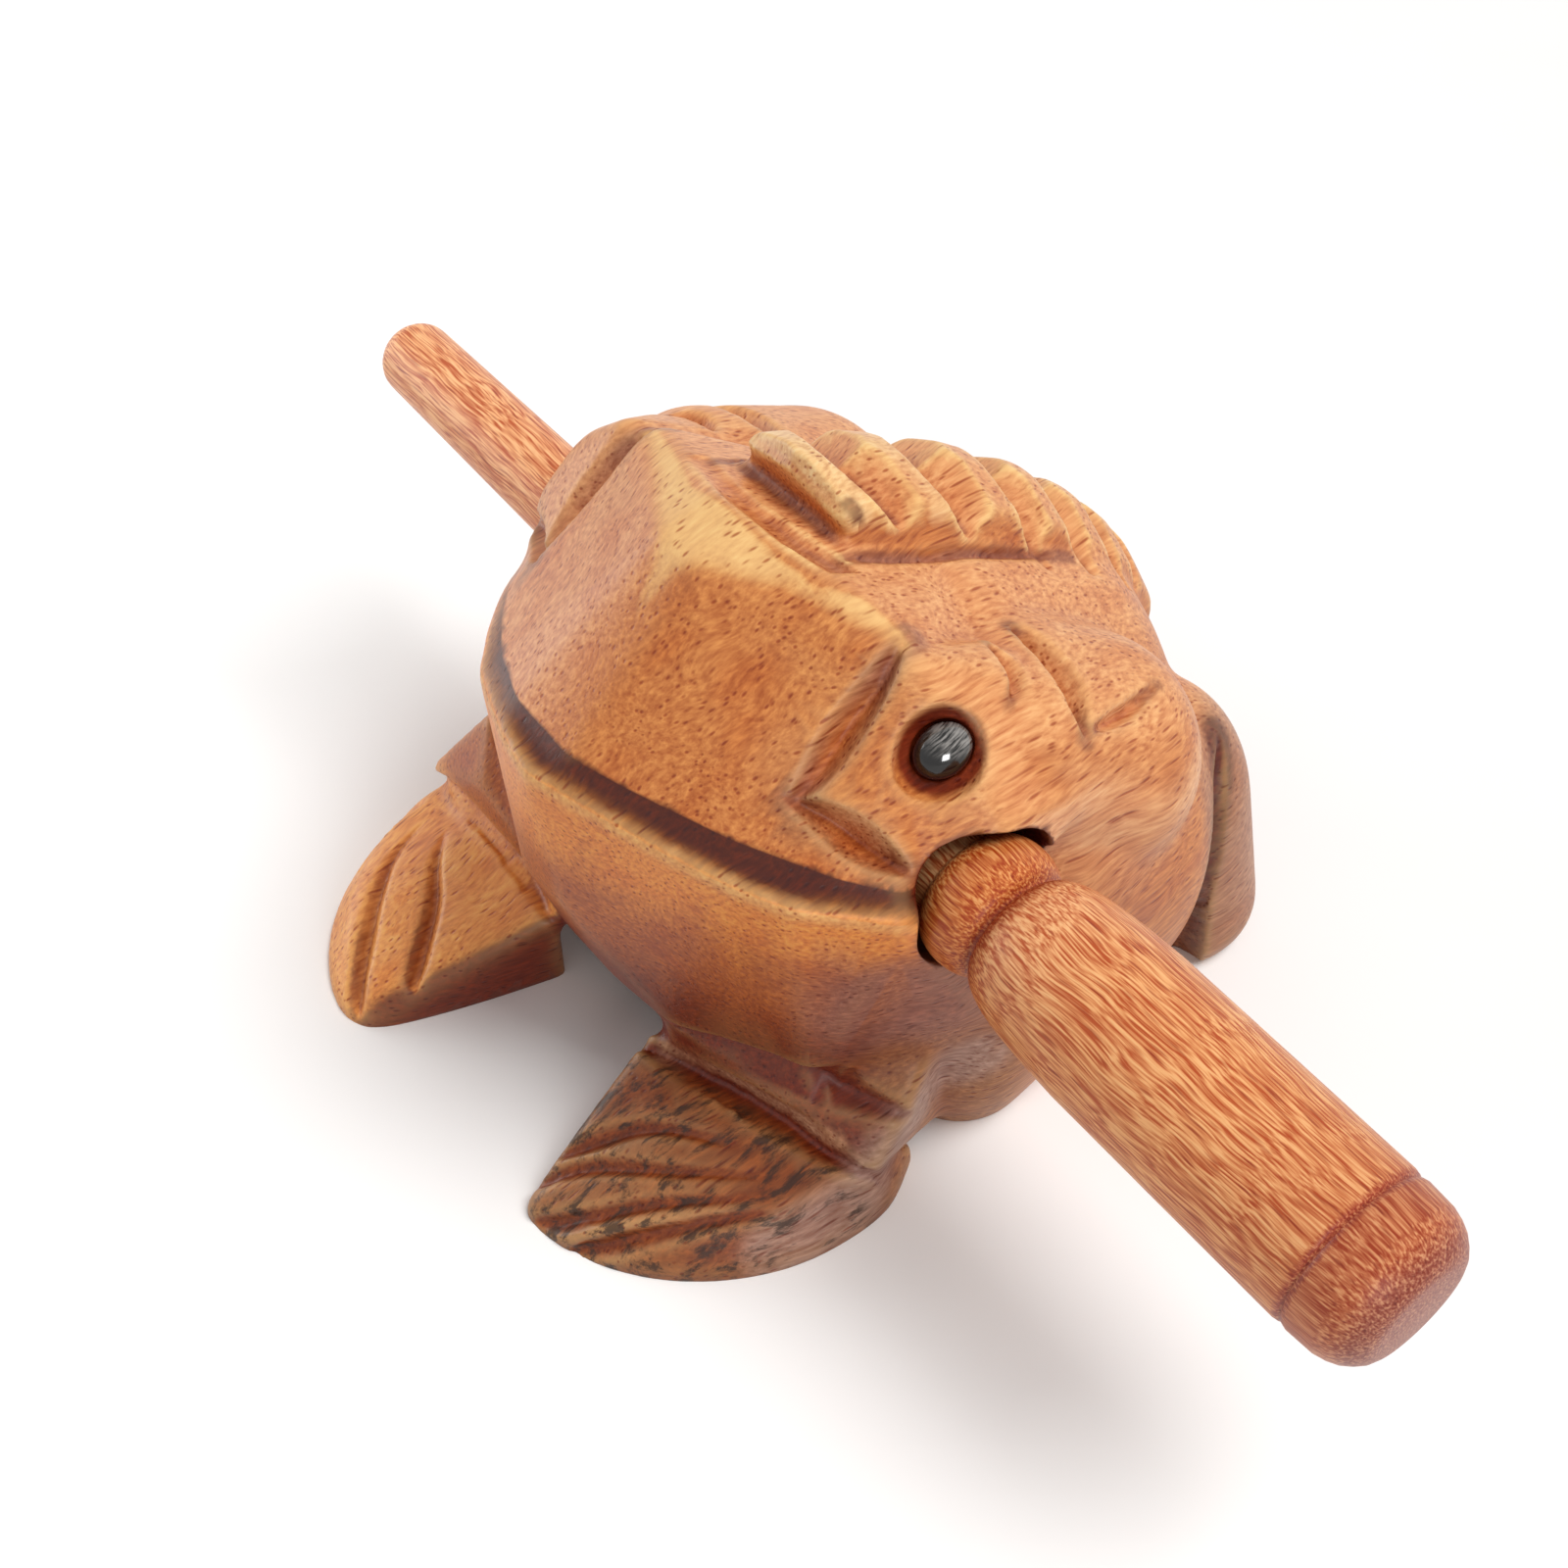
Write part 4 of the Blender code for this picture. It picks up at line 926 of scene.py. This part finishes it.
bump = add_node(tree, "ShaderNodeBump", {"Height": streak, "Distance": 0.12 * MM, "Strength": 0.5})
tree.links.new(bump.outputs[0], shader.inputs["Normal"])
stick.data.materials.append(wood)
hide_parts("striker")
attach(stick, "root")


# Eyes
# Two oval black beads of glossy resin, 5 mm long, moulded in one piece and glued in round seats at the
# bottom of their recesses.

# Glossy black resin with a painted grey reflection in its upper half, in streaks a sixth of a millimetre
# wide. The attribute "sheen" holds how much of that painted reflection a vertex has, and its place along
# and across the bead.
resin, tree, shader = new_material("glossy_black_resin", Roughness=0.12, Specular_IOR_Level=0.35,
                                   Coat_Weight=0.25, Coat_Roughness=0.04)
marks = add_node(tree, "ShaderNodeVertexColor", layer_name="sheen").outputs["Color"]
parts = add_node(tree, "ShaderNodeSeparateColor", {0: marks})
lines = add_node(tree, "ShaderNodeMapping", {0: marks, 3: (0.0, 1 / 1.2, 1 / 0.16)})
reflection_noise = add_node(tree, "ShaderNodeTexNoise", {"Vector": lines.outputs[0], "Scale": 1.0, "Detail": 2.0})
streaky = add_node(tree, "ShaderNodeMapRange", {"Value": reflection_noise.outputs["Fac"], "From Min": 0.38,
                                                "From Max": 0.66})
painted_reflection = add_node(tree, "ShaderNodeMath", {0: streaky.outputs[0], 1: parts.outputs[0]}, operation="MULTIPLY")
reflected_colour = add_node(tree, "ShaderNodeMix", {0: painted_reflection.outputs[0], 6: linear("0C0A09"), 7: linear("7A7672")},
                   data_type="RGBA")
tree.links.new(reflected_colour.outputs[2], shader.inputs["Base Color"])

REFLECTION_WAY = np.array((0.1, 0.35, 0.93))
beads = bpy.data.collections.new("eye_beads")
for name, place in eye_frames.items():
    bm = bmesh.new()
    add_ball(bm, (0.0, 0.0, -EYE_SINK), EYE_RADII, to_frame @ place, subdivisions=5)
    bead = new_object(name + "_bead", bm)
    bead.data.shade_smooth()
    spots, outward = vertex_arrays(bead.data)
    sheen = fade(outward @ REFLECTION_WAY, 0.8, 0.2)[:, None]
    turned = (spots / MM) @ np.array(place.to_3x3())
    keep_colours(bead.data, "sheen", np.hstack([sheen, turned[:, :2]]))
    bead.data.materials.append(resin)
    beads.objects.link(bead)
    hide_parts(name)
    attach(bead, "root")

# A small window that only the beads catch, as one white spot
glint = add_lamp("window_glint", 90.0, 0.6, (236.0, -124.0, 112.0))
glint.light_linking.receiver_collection = beads
